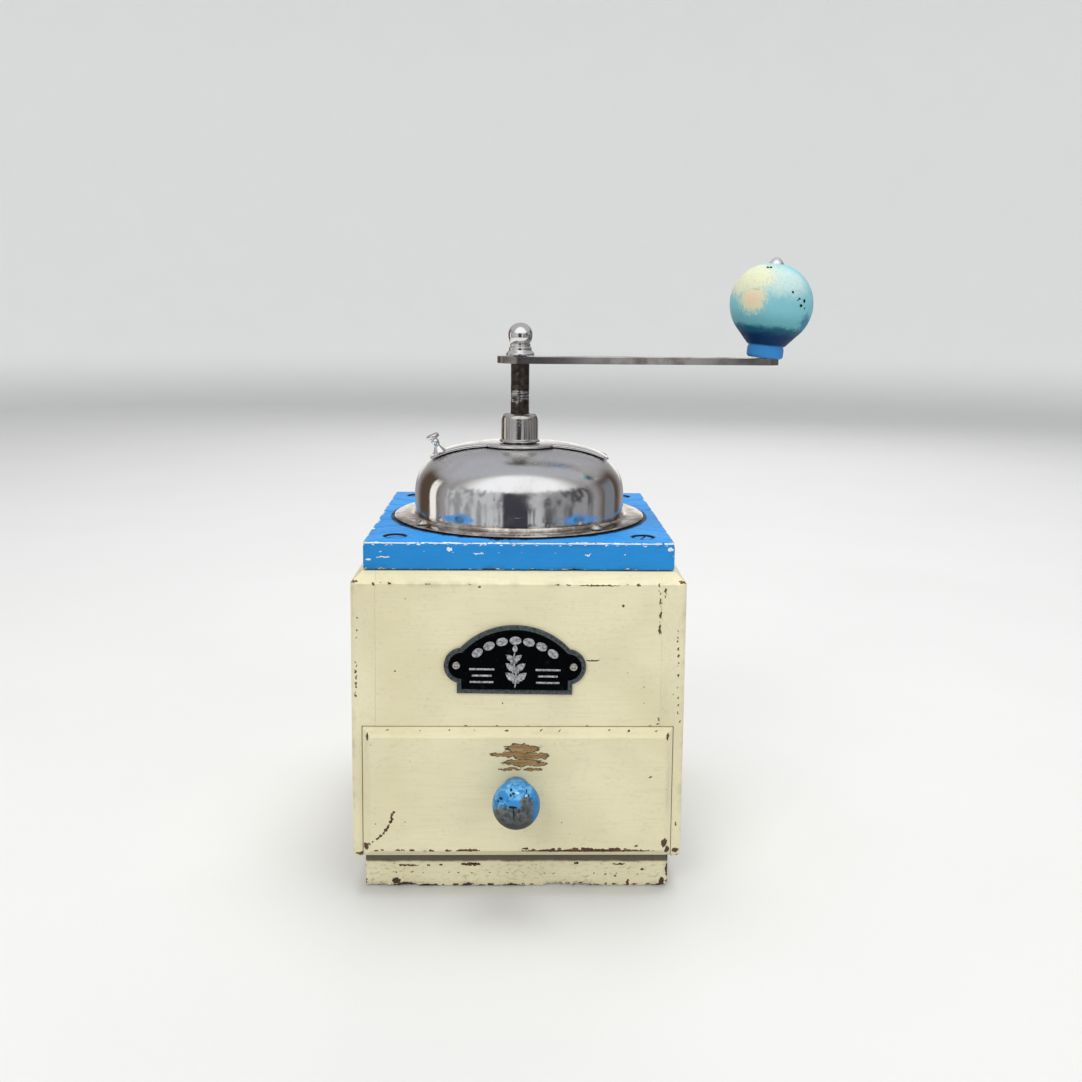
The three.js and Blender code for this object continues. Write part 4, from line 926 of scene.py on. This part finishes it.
def make_plate_screws(places):
    """Countersunk screws under the plate's paint, each with its slot turned another way."""
    # The heads' darker second tone is partly painted shade, for heads sunk below the plate's face.
    paint = painted_wood("blue_screw_heads", BLUE, tuple(0.55 * c for c in BLUE), PLATE_LOW, PLATE_HIGH,
                         ALONG_X, edge=0.3, primer=PRIMER, coat=0, shine=0.3)
    profile = [(0, -34), (1.6, -30.8), (1.6, -3), (4, -1.2), (4, -0.75), (3.6, -0.5), (2, -0.42), (0, -0.42)]
    slot = prism([(-5, -0.45), (5, -0.45), (5, 0.45), (-5, 0.45)], -1.1, 1)
    for i, spot in enumerate(places, 1):
        head = mesh_of("screw", turned(eased(profile, 0.2), 48))
        head = carved(head, [moved(slot, Matrix.Rotation(math.radians(35 * i), 4, "Z"))])
        show(f"top_plate_screw_{i}", head, paint, matrix=placed(spot.x, spot.y, PLATE_HIGH.z))


def placed(x, y, z, turn=None):
    """A world matrix in metres for a shape that was drawn about its own origin."""
    matrix = Matrix.Translation(Vector((x, y, z)) * MM)
    return matrix @ turn if turn else matrix


FORWARDS = Matrix.Rotation(math.radians(90), 4, "X")


# ---------------------------------------------------------------- name plate

PLATE_FOOT = 22
EAR = Vector((20.2, 10.8))
EAR_RADIUS = 6.9
ARCH_HALF = 20.9
NAME_HEIGHT = 26.8
RIM = 1.75
NAME_THICKNESS = 1.0
NAME_ACROSS = -1.5
NAME_FOOT = 80.4
NAME_LEAN = math.radians(0.7)
BEAN_ARC_RADIUS = 23.5
BEAN_ARC_CENTRE = -2.6
BEAN_STEP = 12.6


def plate_outline(inset):
    """The plate's outline: a straight foot, a round ear at each side and an arched top, drawn in by inset."""
    corner = EAR.y + EAR_RADIUS * math.sin(math.acos((ARCH_HALF - EAR.x) / EAR_RADIUS))
    rise = NAME_HEIGHT - corner
    arch_radius = (ARCH_HALF ** 2 + rise ** 2) / (2 * rise)
    crown = Vector((0, NAME_HEIGHT - arch_radius))
    ear_radius, arch = EAR_RADIUS - inset, arch_radius - inset
    apart = crown - EAR
    reach = (ear_radius ** 2 - arch ** 2 + apart.length ** 2) / (2 * apart.length)
    along = apart.normalized()
    across = Vector((along.y, -along.x))
    lift = math.sqrt(ear_radius ** 2 - reach ** 2)
    meet = max((EAR + reach * along + side * lift * across for side in (-1, 1)), key=lambda p: p.y)
    start = -math.degrees(math.acos((PLATE_FOOT - inset - EAR.x) / ear_radius))
    end = math.degrees(math.atan2(meet.y - EAR.y, meet.x - EAR.x))
    arch_start = math.degrees(math.atan2(meet.y - crown.y, meet.x - crown.x))
    right = [(PLATE_FOOT - inset, inset)] + arc(EAR, ear_radius, start, end, 16)
    over = arc(crown, arch, arch_start, 180 - arch_start, 44)[1:-1]
    left = [(-x, z) for x, z in reversed(right)]
    return right + over + left


def upright(x, z, depth):
    """A point of the name plate, from its place across and up, and its depth towards the viewer."""
    return Vector((x, -depth, z))


def coffee_bean(x, z, angle, length, width):
    """A low coffee bean lying on the plate, with the groove down its middle."""
    rows = []
    steps = 10
    turn = Matrix.Rotation(math.radians(angle), 2)
    for i in range(steps + 1):
        rise = i / steps
        spread = math.cos(rise * math.pi / 2)
        row = []
        for k in range(28):
            bearing = 2 * math.pi * k / 28
            spot = Vector((length / 2 * math.cos(bearing), width / 2 * math.sin(bearing))) * spread
            groove = 0.9 * math.exp(-((spot.y + 0.2 * math.sin(spot.x * 1.4)) / 0.3) ** 2)
            depth = NAME_THICKNESS - 0.3 + 0.7 * math.sin(rise * math.pi / 2) * (1 - groove)
            spot = turn @ spot
            row.append(upright(x + spot.x, z + spot.y, depth))
        rows.append(row)
    return grid(rows)


def leaf(x, z, angle, length):
    """A pointed leaf with a raised rib, growing from a point on the stem."""
    turn = Matrix.Rotation(math.radians(angle), 2)
    rows = []
    for i in range(9):
        along = i / 8
        half = 0.27 * length * math.sin(math.pi * along ** 0.8) + 0.02
        row = []
        for across in (-1, -0.55, -0.12, 0, 0.12, 0.55, 1):
            depth = 0.28 * (1 - across ** 2) + (0.12 if across == 0 else 0)
            spot = turn @ Vector((length * along, half * across))
            row.append(upright(x + spot.x, z + spot.y, NAME_THICKNESS - 0.22 + depth))
        rows.append(row)
    return grid(rows, around=False)


def berry(x, z, radius):
    bearings = [2 * math.pi * k / 16 for k in range(16)]
    rows = []
    for tilt in [math.pi / 2 * i / 5 for i in range(5)]:
        depth = NAME_THICKNESS - 0.25 + 0.7 * radius * math.sin(tilt)
        rows.append([upright(x + radius * math.cos(b) * math.cos(tilt),
                             z + radius * math.sin(b) * math.cos(tilt), depth) for b in bearings])
    return grid(rows)


def sprig():
    """A coffee branch: a bent stem with leaves in pairs and berries where they meet."""
    stem = [upright(0.5 * math.sin(i * 0.55), 2.6 + 1.3 * i, NAME_THICKNESS - 0.05) for i in range(12)]
    parts = [tube(stem, 0.3, 8)]
    for i, length in ((2, 5.2), (5, 4.8), (8, 3.9)):
        spot = stem[i]
        parts += [leaf(spot.x, spot.z, 38, length), leaf(spot.x, spot.z, 142, length)]
        parts += [berry(spot.x + side, spot.z - 0.5, 0.62) for side in (-0.75, 0.75)]
    tip = stem[-1]
    parts.append(leaf(tip.x, tip.z - 0.6, 90, 3.4))
    return merged(*parts)


def plain_bar(x, z, length):
    path = [upright(x + length * i / 6, z, NAME_THICKNESS - 0.1) for i in range(7)]
    return tube(path, 0.42, 8)


def make_name_plate():
    matrix = placed(NAME_ACROSS, -CASE_HALF - 0.3, NAME_FOOT, Matrix.Rotation(NAME_LEAN, 4, "Y"))
    rim_metal = pewter("plate_rim", (0.02, 0.025, 0.028), (0.075, 0.09, 0.10), 0.4)
    relief_metal = pewter("plate_relief", (0.16, 0.17, 0.18), (0.55, 0.56, 0.58), 0.6)
    levels = [(0, 0), (0, 0.75), (0.25, 1.05), (0.7, 1.2), (1.3, 1.2), (1.65, 1.0), (RIM, 0.55)]
    rows = [[upright(x, z, depth) for x, z in plate_outline(inset)] for inset, depth in levels]
    rim = grid(rows, closed=True)
    beans = []
    for i in range(-3, 4):
        angle = math.radians(90 - BEAN_STEP * i)
        x = BEAN_ARC_RADIUS * math.cos(angle)
        z = BEAN_ARC_CENTRE + BEAN_ARC_RADIUS * math.sin(angle)
        beans.append(coffee_bean(x, z, math.degrees(angle) - 90, 4.5, 3.3))
    bars = [plain_bar(side * 12.6 - length / 2, height, length)
            for side in (-1, 1) for height, length in ((9.6, 9.5), (7.1, 7.4), (4.6, 9.0))]
    show("name_plate", mesh_of("plate_rim", rim), rim_metal, 45, matrix)
    relief = mesh_of("plate_relief", merged(sprig(), *beans, *bars))
    show("name_plate", relief, relief_metal, 45, matrix, "relief")
    outline = plate_outline(1.2)
    back = [upright(x, z, 0.1) for x, z in outline]
    front = [upright(x, z, 0.72) for x, z in outline]
    sides = grid([back, front])
    count = len(outline)
    caps = [list(range(count)), list(range(2 * count - 1, count - 1, -1))]
    field = (sides[0], sides[1] + caps)
    show("name_plate", mesh_of("plate_field", field), plate_field(), 30, matrix, "field")
    make_name_nails()


def make_name_nails():
    metal = plain_steel("nail_steel", (0.50, 0.48, 0.44), 0.3)
    profile = [(0, -6), (0.8, -5), (0.8, 0), (1.6, 0), (1.6, 0.4), (1.3, 0.95)]
    profile += [(0.9, 1), (0.6, 0.6), (0, 0.55)]
    for side in ("left", "right"):
        centre = centre_of(f"name_plate_nail_{side}")
        show(f"name_plate_nail_{side}", mesh_of("nail", turned(eased(profile, 0.15), 32)), metal,
             matrix=placed(centre.x, -CASE_HALF - 1.6, centre.z, FORWARDS))


# ---------------------------------------------------------------- drawer

def make_drawer():
    low, high = DRAWER_LOW, DRAWER_HIGH
    front = painted_wood("cream_drawer", CREAM, CREAM_DARK, low, high, ALONG_X, DRAWER_MARKS, edge=0.15,
                         wood=RED_BROWN, grime=0.25)
    rub_through(front)
    softened("drawer_front", front, 0.35, grow=(0.2, 0.12))
    along = bare_wood("drawer_wood", ALONG_Y)
    for node in ("drawer_side_left", "drawer_side_right", "drawer_bottom"):
        softened(node, along, 0.35)
    softened("drawer_back", bare_wood("drawer_back_wood", ALONG_X), 0.35)
    profile = [(0, 0), (5.2, 0), (5.2, 1), (4.8, 2.2)] + arc((0, 13.4), 8.9, -57.4, 90, 40)
    centre = centre_of("drawer_knob")
    foot = extent("drawer_knob")[1].y
    show("drawer_knob", mesh_of("drawer_knob", turned(eased(profile, 0.35), 96)), drawer_knob_paint(),
         matrix=placed(centre.x, foot, centre.z, FORWARDS))


def rub_through(material):
    """Bares the tan wood above the knob, in ragged streaks that run along the board's grain."""
    shader = Shader.reopened(material)
    paint = shader.feeding("Base Color")
    torn = shader.nearest(BARE_PATCH, shader.ragged(1.9, 2.6))
    strands = shader.noise(0.5, stretch=(9, 1, 1), detail=4, roughness=0.7)
    torn = shader.swayed(torn, strands, 0.9)
    rim = shader.step(torn, 1.16, 1.04)
    inside = shader.step(torn, 0.98, 0.88)
    tan = shader.mix(shader.step(strands, 0.35, 0.65), (0.21, 0.115, 0.035), (0.37, 0.24, 0.09))
    colour = shader.mix(rim, paint, (0.075, 0.03, 0.008))
    shader.refeed("Base Color", shader.mix(inside, colour, tan))
    normal = shader.feeding("Normal")
    shader.refeed("Normal", shader.bump(shader.minus(1, rim), 0.2, normal))


# ---------------------------------------------------------------- hopper

def dome_height(radius, rise, distance):
    """The height of a superellipse dome at a distance from its axis."""
    share = min(1, abs(distance) / radius)
    return DOME_WALL_TOP + rise * (1 - share ** DOME_EXPONENT) ** (1 / DOME_EXPONENT)


def dome_line(start, end, steps):
    """Points of the dome's outer line between two distances from the axis, evenly spread over its curve."""
    low, high = (math.asin((distance / DOME_RADIUS) ** 1.5) for distance in (start, end))
    points = []
    for i in range(steps):
        angle = low + (high - low) * i / steps
        distance = DOME_RADIUS * math.sin(angle) ** (2 / 3)
        points.append((distance, dome_height(DOME_RADIUS, DOME_RISE, distance)))
    return points


def paint_flange_reflection(material):
    """Paints a brown reflection into the dome's flange, below its wall, and brushes its top dull."""
    shader = Shader.reopened(material)
    metal = shader.feeding("Base Color")
    height = shader.height()
    cloud = shader.noise(7, detail=5, roughness=0.65)
    brown = shader.mix(shader.step(cloud, 0.4, 0.62), (0.36, 0.30, 0.25), (0.72, 0.68, 0.63))
    low = shader.step(height, DOME_LOW.z + 3.2, DOME_LOW.z + 2)
    shader.refeed("Base Color", shader.mix(low, metal, brown))
    polish = shader.feeding("Roughness")
    brushed = shader.step(height, 156, 166, 0, 0.16)
    shader.refeed("Roughness", shader.plus(polish, brushed, clamp=True))


def make_dome():
    """A thin pressed shell. Its grid lines follow the edges of the half-moon mouth at the back."""
    flange = DOME_LOW.z + DOME_SHEET
    line = dome_line(NECK_HOLE, MOUTH_INNER, 6)
    mouth_from = len(line)
    line += dome_line(MOUTH_INNER, MOUTH_OUTER, 14)
    mouth_to = len(line)
    line += dome_line(MOUTH_OUTER, DOME_RADIUS, 26)
    line += [(DOME_RADIUS, DOME_WALL_TOP - 0.2), (DOME_RADIUS, 143)]
    line += arc((DOME_RADIUS + DOME_FILLET, flange + DOME_FILLET), DOME_FILLET, 180, 270, 6)
    line += [(49, flange), (52.6, flange - 0.03), (53.3, flange - 0.2), (53.5, flange - 0.45)]
    half_steps = 100
    points, faces = [], []
    for radius, height in line:
        skew = math.asin(MOUTH_FRONT / radius)
        for i in range(2 * half_steps):
            if i < half_steps:
                angle = skew + (math.pi - 2 * skew) * i / half_steps
            else:
                angle = math.pi - skew + (math.pi + 2 * skew) * (i - half_steps) / half_steps
            points.append(Vector((radius * math.cos(angle), radius * math.sin(angle), height)))
    count = 2 * half_steps
    for row in range(len(line) - 1):
        for i in range(count):
            if mouth_from <= row < mouth_to and i < half_steps:
                continue
            j = (i + 1) % count
            faces.append([row * count + i, (row + 1) * count + i, (row + 1) * count + j, row * count + j])
    material = chrome("chrome_dome", stained=0.2, polish=0.06, low=DOME_LOW.z, high=142)
    # The flange's brown is a painted reflection.
    paint_flange_reflection(material)
    piece = show("dome_shell", open_mesh("dome", (points, faces)), material, 50)
    thickened(piece, DOME_SHEET)


def open_mesh(name, shape):
    """A sheet's mesh in metres, its faces kept the way they were drawn."""
    mesh = bpy.data.meshes.new(name)
    mesh.from_pydata([Vector(point) * MM for point in shape[0]], [], shape[1])
    return mesh


def thickened(piece, thickness):
    """Gives an open sheet its thickness inwards, and eases the edges that makes."""
    solid = piece.modifiers.new("sheet", "SOLIDIFY")
    solid.thickness = thickness * MM
    solid.offset = -1
    bevelled(piece, 0.16, 2, harden=False)


def lid_reach(angle):
    """How far the lid's plan reaches from the shaft at a bearing: a half disc with a round hub in front."""
    if math.sin(angle) >= 0:
        return LID_RADIUS
    return min(LID_RADIUS, max(LID_HUB, LID_FRONT / min(-1e-6, math.sin(angle))))


def make_lid():
    steps = 480
    angles = [2 * math.pi * i / steps for i in range(steps)]
    reach = [lid_reach(angle) for angle in angles]
    for _ in range(3):
        reach = [(reach[i - 1] + 2 * reach[i] + reach[(i + 1) % steps]) / 4 for i in range(steps)]

    def surface_point(angle, distance, sink=0.0):
        height = dome_height(DOME_RADIUS + LID_OUTSET, DOME_RISE + LID_OUTSET, distance) - sink
        return Vector((distance * math.cos(angle), distance * math.sin(angle), height))

    rows = []
    for k in range(23):
        share = k / 22
        rows.append([surface_point(a, LID_HOLE + (r - LID_HOLE) * share) for a, r in zip(angles, reach)])
    sheet = grid(rows)
    bead_path = [surface_point(a, r - 0.1, 0.22) for a, r in zip(angles, reach)]
    metal = chrome("chrome_lid", stained=0.3, polish=0.1)
    lid = open_mesh("lid", (sheet[0], [list(reversed(face)) for face in sheet[1]]))
    piece = show("hopper_lid", lid, metal, 50)
    thickened(piece, DOME_SHEET)
    bead = mesh_of("lid_bead", tube(bead_path, LID_BEAD, 12, closed=True))
    show("hopper_lid", bead, metal, 60, extra="bead")
    make_lid_knob()


def make_lid_knob():
    radius = DOME_RADIUS + LID_OUTSET
    rise = DOME_RISE + LID_OUTSET
    distance = LID_KNOB_DISTANCE
    top = dome_height(radius, rise, distance)
    lean = math.atan2(distance ** 2 / radius ** 3, (top - DOME_WALL_TOP) ** 2 / rise ** 3)
    profile = [(0, -1), (1.1, -1), (1.1, 0), (2.8, 0), (2.8, 0.5), (1.9, 2), (1.25, 3.2), (1.6, 4.4),
               (1.7, 5.4), (1.2, 6.3), (2.75, 7), (2.75, 8.1), (2.2, 8.6), (0, 8.6)]
    turn = Matrix.Rotation(math.radians(LID_KNOB_BEARING), 4, "Z")
    foot = turn @ Vector((distance + 0.3 * math.sin(lean), 0, top + 0.3 * math.cos(lean)))
    metal = chrome("chrome_thumb", tint=(0.8, 0.79, 0.77), stained=0.15, polish=0.05)
    show("lid_knob", mesh_of("lid_knob", turned(eased(profile, 0.3), 48)), metal, 30,
         placed(*foot, turn @ Matrix.Rotation(lean, 4, "Y")))


def make_collar():
    low, high = extent("shaft_collar")
    shoulder = [(5.35 + r, z) for r, z in arc((0, high.z - 2.6), 2.6, 0, 75, 12)]
    profile = [(4.3, low.z), (6.8, low.z), (6.8, 170.1), (8.8, 170.1), (8.8, 170.6), (7.95, 171.3)]
    profile += shoulder + [(4.3, high.z)]
    material = chrome("chrome_collar", tint=(0.60, 0.575, 0.54), stain=(0.2, 0.15, 0.11), polish=0.13,
                      stained=0.7, pitted=1.0)
    show("shaft_collar", mesh_of("collar", turned(eased(profile, 0.22), 96, closed=True)), material, 30)


def make_dome_screws():
    metal = chrome("chrome_screws", tint=(0.66, 0.63, 0.58), stain=(0.2, 0.14, 0.09), polish=0.14,
                   stained=0.7)
    for i, angle in enumerate((62, 148, 20, 105), 1):
        centre = centre_of(f"dome_screw_{i}")
        top = extent(f"dome_screw_{i}")[1].z
        profile = [(0, -9), (1.3, -7.7), (1.3, 0), (2.3, 0), (2.3, 0.3)] + arc((0, -0.65), 2.45, 24, 90, 10)
        profile[-1] = (0, profile[-1][1])
        head = mesh_of("round_head", turned(eased(profile, 0.12), 48))
        slot = prism([(-3, -0.34), (3, -0.34), (3, 0.34), (-3, 0.34)], 0.85, 3)
        head = carved(head, [moved(slot, Matrix.Rotation(math.radians(angle), 4, "Z"))])
        show(f"dome_screw_{i}", head, metal, 30, placed(centre.x, centre.y, top - 1.5))


# ---------------------------------------------------------------- crank

def make_arm():
    tangent = math.degrees(math.acos((ARM_HUB - ARM_TIP) / ARM_REACH))
    outline = arc((ARM_REACH, 0), ARM_TIP, -tangent, tangent, 28)
    outline += arc((0, 0), ARM_HUB, tangent, 360 - tangent, 56)
    bar = mesh_of("arm", prism(outline, ARM_LOW.z, ARM_HIGH.z))
    square = prism([(-2.9, -2.9), (2.9, -2.9), (2.9, 2.9), (-2.9, 2.9)], ARM_LOW.z - 1, ARM_HIGH.z + 1)
    pin_hole = turned([(0, -5), (3.3, -5), (3.3, -2.7), (2.5, -1.9), (2.5, 1), (0, 1)], 32)
    lean = Matrix.Translation((ARM_REACH, 0, ARM_HIGH.z)) @ Matrix.Rotation(KNOB_LEAN, 4, "Y")
    metal = chrome("chrome_arm", tint=(0.50, 0.48, 0.455), stain=(0.18, 0.13, 0.09), polish=0.14, stained=0.8)
    bevelled(show("crank_arm", carved(bar, [square, moved(pin_hole, lean)]), metal, 30), 0.5, 3)


def make_crank():
    make_arm()
    low, high = extent("crank_shaft")
    profile = [(0, low.z), (1.5, low.z), (3.95, low.z + 2.5), (3.95, ARM_LOW.z - 0.3), (2.6, ARM_LOW.z - 0.3),
               (2.6, ARM_HIGH.z), (2.5, ARM_HIGH.z), (2.5, high.z), (0, high.z)]
    show("crank_shaft", mesh_of("shaft", turned(eased(profile, 0.2), 64)), dark_steel(), 30)
    nut = [(0, 0), (6.2, 0), (6.2, 0.8), (5, 2.1), (5, 3.4), (4.2, 3.8), (4.5, 4.2), (4.5, 5)]
    nut += arc((0, 8.5), 5.35, -43.2, 90, 30)
    bright = chrome("chrome_finial", tint=(0.80, 0.79, 0.77), stained=0.35, polish=0.06)
    show("finial_nut", mesh_of("finial", turned(eased(nut, 0.25), 72)), bright, 30,
         placed(0, 0, ARM_HIGH.z + 0.3))
    leaning = Matrix.Rotation(KNOB_LEAN, 4, "Y")
    stand = placed(ARM_REACH, 0, ARM_HIGH.z, leaning)
    ball = [(2.6, 1), (6, 1), (6, 0.1)] + arc((6.3, 1.5), 1.4, -90, 0, 8)
    ball += [(7.7, 4.4), (7.2, 5.2), (8.1, 5.8)]
    ball += arc((0, 23.1), 17.5, -45, math.degrees(math.asin(16.8 / 17.5)), 48) + [(2.6, 39.9)]
    show("crank_knob", mesh_of("knob", turned(eased(ball, 0.3), 128, closed=True)), knob_paint(), 30, stand)
    pin = [(0, -2.7), (3, -2.7), (2.2, -1.9), (2.2, 40), (3.1, 40), (3.1, 40.2), (2.7, 41)]
    pin += [(2, 41.9), (1.4, 42.5), (0.7, 42.85), (0, 43)]
    pin_metal = chrome("chrome_pin", tint=(1, 1, 1), stained=0.05, polish=0.3)
    show("knob_pin", mesh_of("pin", turned(pin, 48)), pin_metal, 30, stand)


# ---------------------------------------------------------------- inside

def make_inside():
    iron = cast_iron()
    for node in ("burr_housing", "bearing_bridge", "lower_bridge"):
        softened(node, iron, 0.25)
    burr = plain_steel("burr_steel", (0.30, 0.30, 0.31), 0.4, 0.04)
    for node in ("outer_burr", "inner_burr"):
        softened(node, burr, 0.08, segments=1)
    upright_wood = bare_wood("post_wood", (1, 1, 16))
    for i in range(1, 5):
        softened(f"corner_post_{i}", upright_wood, 0.4)
    rail_wood = bare_wood("rail_wood", ALONG_Y)
    for side in ("left", "right"):
        softened(f"drawer_guide_{side}", rail_wood, 0.3)
    steel = plain_steel("bright_steel", (0.55, 0.54, 0.52), 0.3)
    for node in ("grind_screw", "lock_nut", "collar_nut"):
        softened(node, steel, 0.12)
    plain = ["thrust_pad", "drive_pin", "drawer_knob_screw"]
    plain += [f"base_nail_{i}" for i in range(1, 5)] + [f"housing_screw_{i}" for i in range(1, 5)]
    plain += [f"lower_bridge_screw_{side}" for side in ("left", "right")]
    for node in plain:
        dressed(node, steel)
    dressed("pressure_spring", plain_steel("spring_steel", (0.40, 0.39, 0.38), 0.28))


def dressed(node, material):
    """A CAD node shown as it is, in a better material."""
    mesh = frame["nodes"][node].data
    mesh.materials.clear()
    mesh.materials.append(material)


# ---------------------------------------------------------------- studio

SURROUND_RADIUS = 620
SURROUND_HEIGHT = 145
CAMERA_PLACE = (-1.49, -475.87, 224.99)
CAMERA_TURN = (1.286, 6.672, 0.54)
CAMERA_LENS = 37.03
CAMERA_SHIFT = -0.0906


def look_at(light, target):
    light.rotation_euler = (Vector(target) - light.location).to_track_quat("-Z", "Y").to_euler()


def area_light(name, place, size, power, colour=(1, 1, 1), target=(0, 0, 0.12)):
    data = bpy.data.lights.new(name, "AREA")
    data.shape = "RECTANGLE"
    data.size, data.size_y = size
    data.energy = power
    data.color = colour
    light = bpy.data.objects.new(name, data)
    light.location = place
    look_at(light, target)
    light.visible_camera = False
    light.visible_glossy = False
    bpy.context.scene.collection.objects.link(light)


def unseen(piece):
    """Lets only shiny surfaces see a piece of the studio."""
    piece.visible_camera = False
    piece.visible_diffuse = False
    piece.visible_shadow = False
    piece.visible_transmission = False
    piece.visible_volume_scatter = False


def surround_glow():
    """What the chrome reflects: bright sky over a room's uprights, brown sides, a low bright band behind."""
    shader = Shader("surround")
    radius = SURROUND_RADIUS * MM
    x, y, z = shader.axes()
    lift = shader.math("DIVIDE", shader.minus(z, SURROUND_HEIGHT * MM), radius)
    across = shader.math("DIVIDE", x, radius)
    ahead = shader.math("DIVIDE", y, -radius)
    bearing = shader.math("ARCTAN2", across, ahead)
    turned_away = shader.math("ABSOLUTE", bearing)
    column = shader.tree.nodes.new("ShaderNodeCombineXYZ")
    shader.fill(column.inputs[0], bearing)
    shader.fill(column.inputs[2], shader.times(lift, 0.35))
    wide = shader.noise(1000 * 0.22, detail=1, place=column.outputs[0])
    thin = shader.noise(1000 * 0.07, detail=2, place=column.outputs[0])
    posts = shader.plus(shader.times(wide, 0.55), shader.times(thin, 0.45))
    room = shader.mix(shader.step(posts, 0.44, 0.53), (0.07, 0.068, 0.075), (0.60, 0.61, 0.63))
    rightwards = shader.step(bearing, 0.3, 0.6)
    room = shader.mix(shader.times(rightwards, 0.5), room, (0.09, 0.088, 0.095))
    leftwards = shader.step(bearing, 0.1, -0.5)
    room = shader.mix(shader.times(leftwards, 0.45), room, (0.66, 0.67, 0.69))
    middle = shader.band(bearing, -0.07, 0.235, 0.215)
    room = shader.mix(middle, room, (0.055, 0.052, 0.068))
    sky = shader.mix(shader.step(turned_away, 0.75, 1.5), (1.12, 1.13, 1.15), (0.32, 0.30, 0.28))
    ragged_top = shader.swayed(lift, thin, 0.35)
    front = shader.mix(shader.step(ragged_top, 0.36, 0.52), room, sky)
    overhead = shader.mix(shader.step(lift, 0.75, 0.3), (0.50, 0.51, 0.55), (0.36, 0.345, 0.35))
    glow = shader.mix(shader.step(ahead, 0.24, 0), front, overhead)
    side = shader.times(shader.step(turned_away, 1.5, 1.85), shader.step(lift, 0.6, 0.35))
    side = shader.times(side, shader.step(turned_away, 2.6, 2.25))
    glow = shader.mix(side, glow, (0.10, 0.072, 0.05))
    flare = shader.band(bearing, -1.82, 0.12, 0.08)
    flare = shader.times(flare, shader.step(lift, 0.5, 0.3))
    glow = shader.mix(flare, glow, (1.1, 1.07, 1.0))
    cool = shader.band(bearing, 1.98, 0.22, 0.16)
    cool = shader.times(cool, shader.step(lift, 0.4, 0.2))
    glow = shader.mix(cool, glow, (0.22, 0.235, 0.27))
    behind = shader.times(shader.step(turned_away, 2.55, 2.8), shader.step(lift, 0.22, 0.12))
    behind = shader.times(behind, shader.step(lift, -0.06, 0))
    glow = shader.mix(behind, glow, (1.15, 1.12, 1.08))
    emission = shader.tree.nodes.new("ShaderNodeEmission")
    shader.fill(emission.inputs["Color"], glow)
    output = shader.tree.nodes.new("ShaderNodeOutputMaterial")
    shader.tree.links.new(emission.outputs[0], output.inputs["Surface"])
    shader.material.cycles.emission_sampling = "NONE"
    return shader.material


def make_surround():
    """A dome that only shiny surfaces see."""
    profile = arc((0, SURROUND_HEIGHT), SURROUND_RADIUS, -13.4, 90, 40)
    mesh = mesh_of("surround", turned(profile, 96))
    mesh.materials.append(surround_glow())
    piece = bpy.data.objects.new("surround", mesh)
    bpy.context.scene.collection.objects.link(piece)
    unseen(piece)


def make_world():
    scene = bpy.context.scene
    scene.view_settings.view_transform = "Standard"
    world = bpy.data.worlds.new("studio")
    world.use_nodes = True
    world.node_tree.nodes["Background"].inputs["Color"].default_value = (0.88, 0.90, 0.93, 1)
    world.node_tree.nodes["Background"].inputs["Strength"].default_value = 0.42
    scene.world = world


def make_floor():
    """A bowl of pale paper under and round the mill, with a faint glow that grows above the table."""
    bend = arc((2300, 900), 900, -90, 0, 16)
    paper = turned([(0, -0.2)] + [(r, z - 0.2) for r, z in bend] + [(3200, 3600)], 96)
    mesh = mesh_of("floor", paper)
    shade(mesh, 60)
    shader = Shader("floor_paper")
    tone = shader.mix(shader.noise(120, detail=2), (0.58, 0.58, 0.57), (0.61, 0.61, 0.60))
    mesh.materials.append(shader.surface(tone, 0.85, 0, shader.bump(shader.noise(1.2, detail=3), 0.03)))
    shader.found("BSDF_PRINCIPLED").inputs["Emission Color"].default_value = (0.97, 0.985, 1, 1)
    shader.refeed("Emission Strength", shader.step(shader.height(), -60, 120, 0, 0.3))
    shader.material.cycles.emission_sampling = "NONE"
    floor = bpy.data.objects.new("floor", mesh)
    bpy.context.scene.collection.objects.link(floor)


def make_lights():
    area_light("key", (-0.75, -1.35, 1.25), (0.9, 0.9), 11, (1, 0.985, 0.96))
    area_light("fill", (1.25, -1.1, 0.7), (0.8, 1.1), 4.2, (0.95, 0.98, 1))
    area_light("top", (0.1, 0.1, 1.5), (1.1, 0.9), 17)
    area_light("back", (0.3, 1.5, 0.9), (1.2, 0.6), 6)


def make_camera():
    """The camera stands in front of the mill, a little above its crank, and looks slightly down."""
    yaw, pitch, roll = (math.radians(a) for a in CAMERA_TURN)
    forward = Vector((math.sin(yaw) * math.cos(pitch), math.cos(yaw) * math.cos(pitch), -math.sin(pitch)))
    right = Vector((math.cos(yaw), -math.sin(yaw), 0))
    up = right.cross(forward)
    across = right * math.cos(roll) + up * math.sin(roll)
    upward = up * math.cos(roll) - right * math.sin(roll)
    data = bpy.data.cameras.new("camera")
    data.lens = CAMERA_LENS
    data.sensor_width = 36
    data.shift_y = CAMERA_SHIFT
    data.clip_start = 0.01
    camera = bpy.data.objects.new("camera", data)
    turn = Matrix((across, upward, -forward)).transposed().to_4x4()
    camera.matrix_world = Matrix.Translation(Vector(CAMERA_PLACE) * MM) @ turn
    bpy.context.scene.collection.objects.link(camera)
    bpy.context.scene.camera = camera


make_case()
make_plinth()
make_top_plate()
make_name_plate()
make_drawer()
make_dome()
make_lid()
make_collar()
make_dome_screws()
make_crank()
make_inside()
make_world()
make_floor()
make_lights()
make_surround()
make_camera()
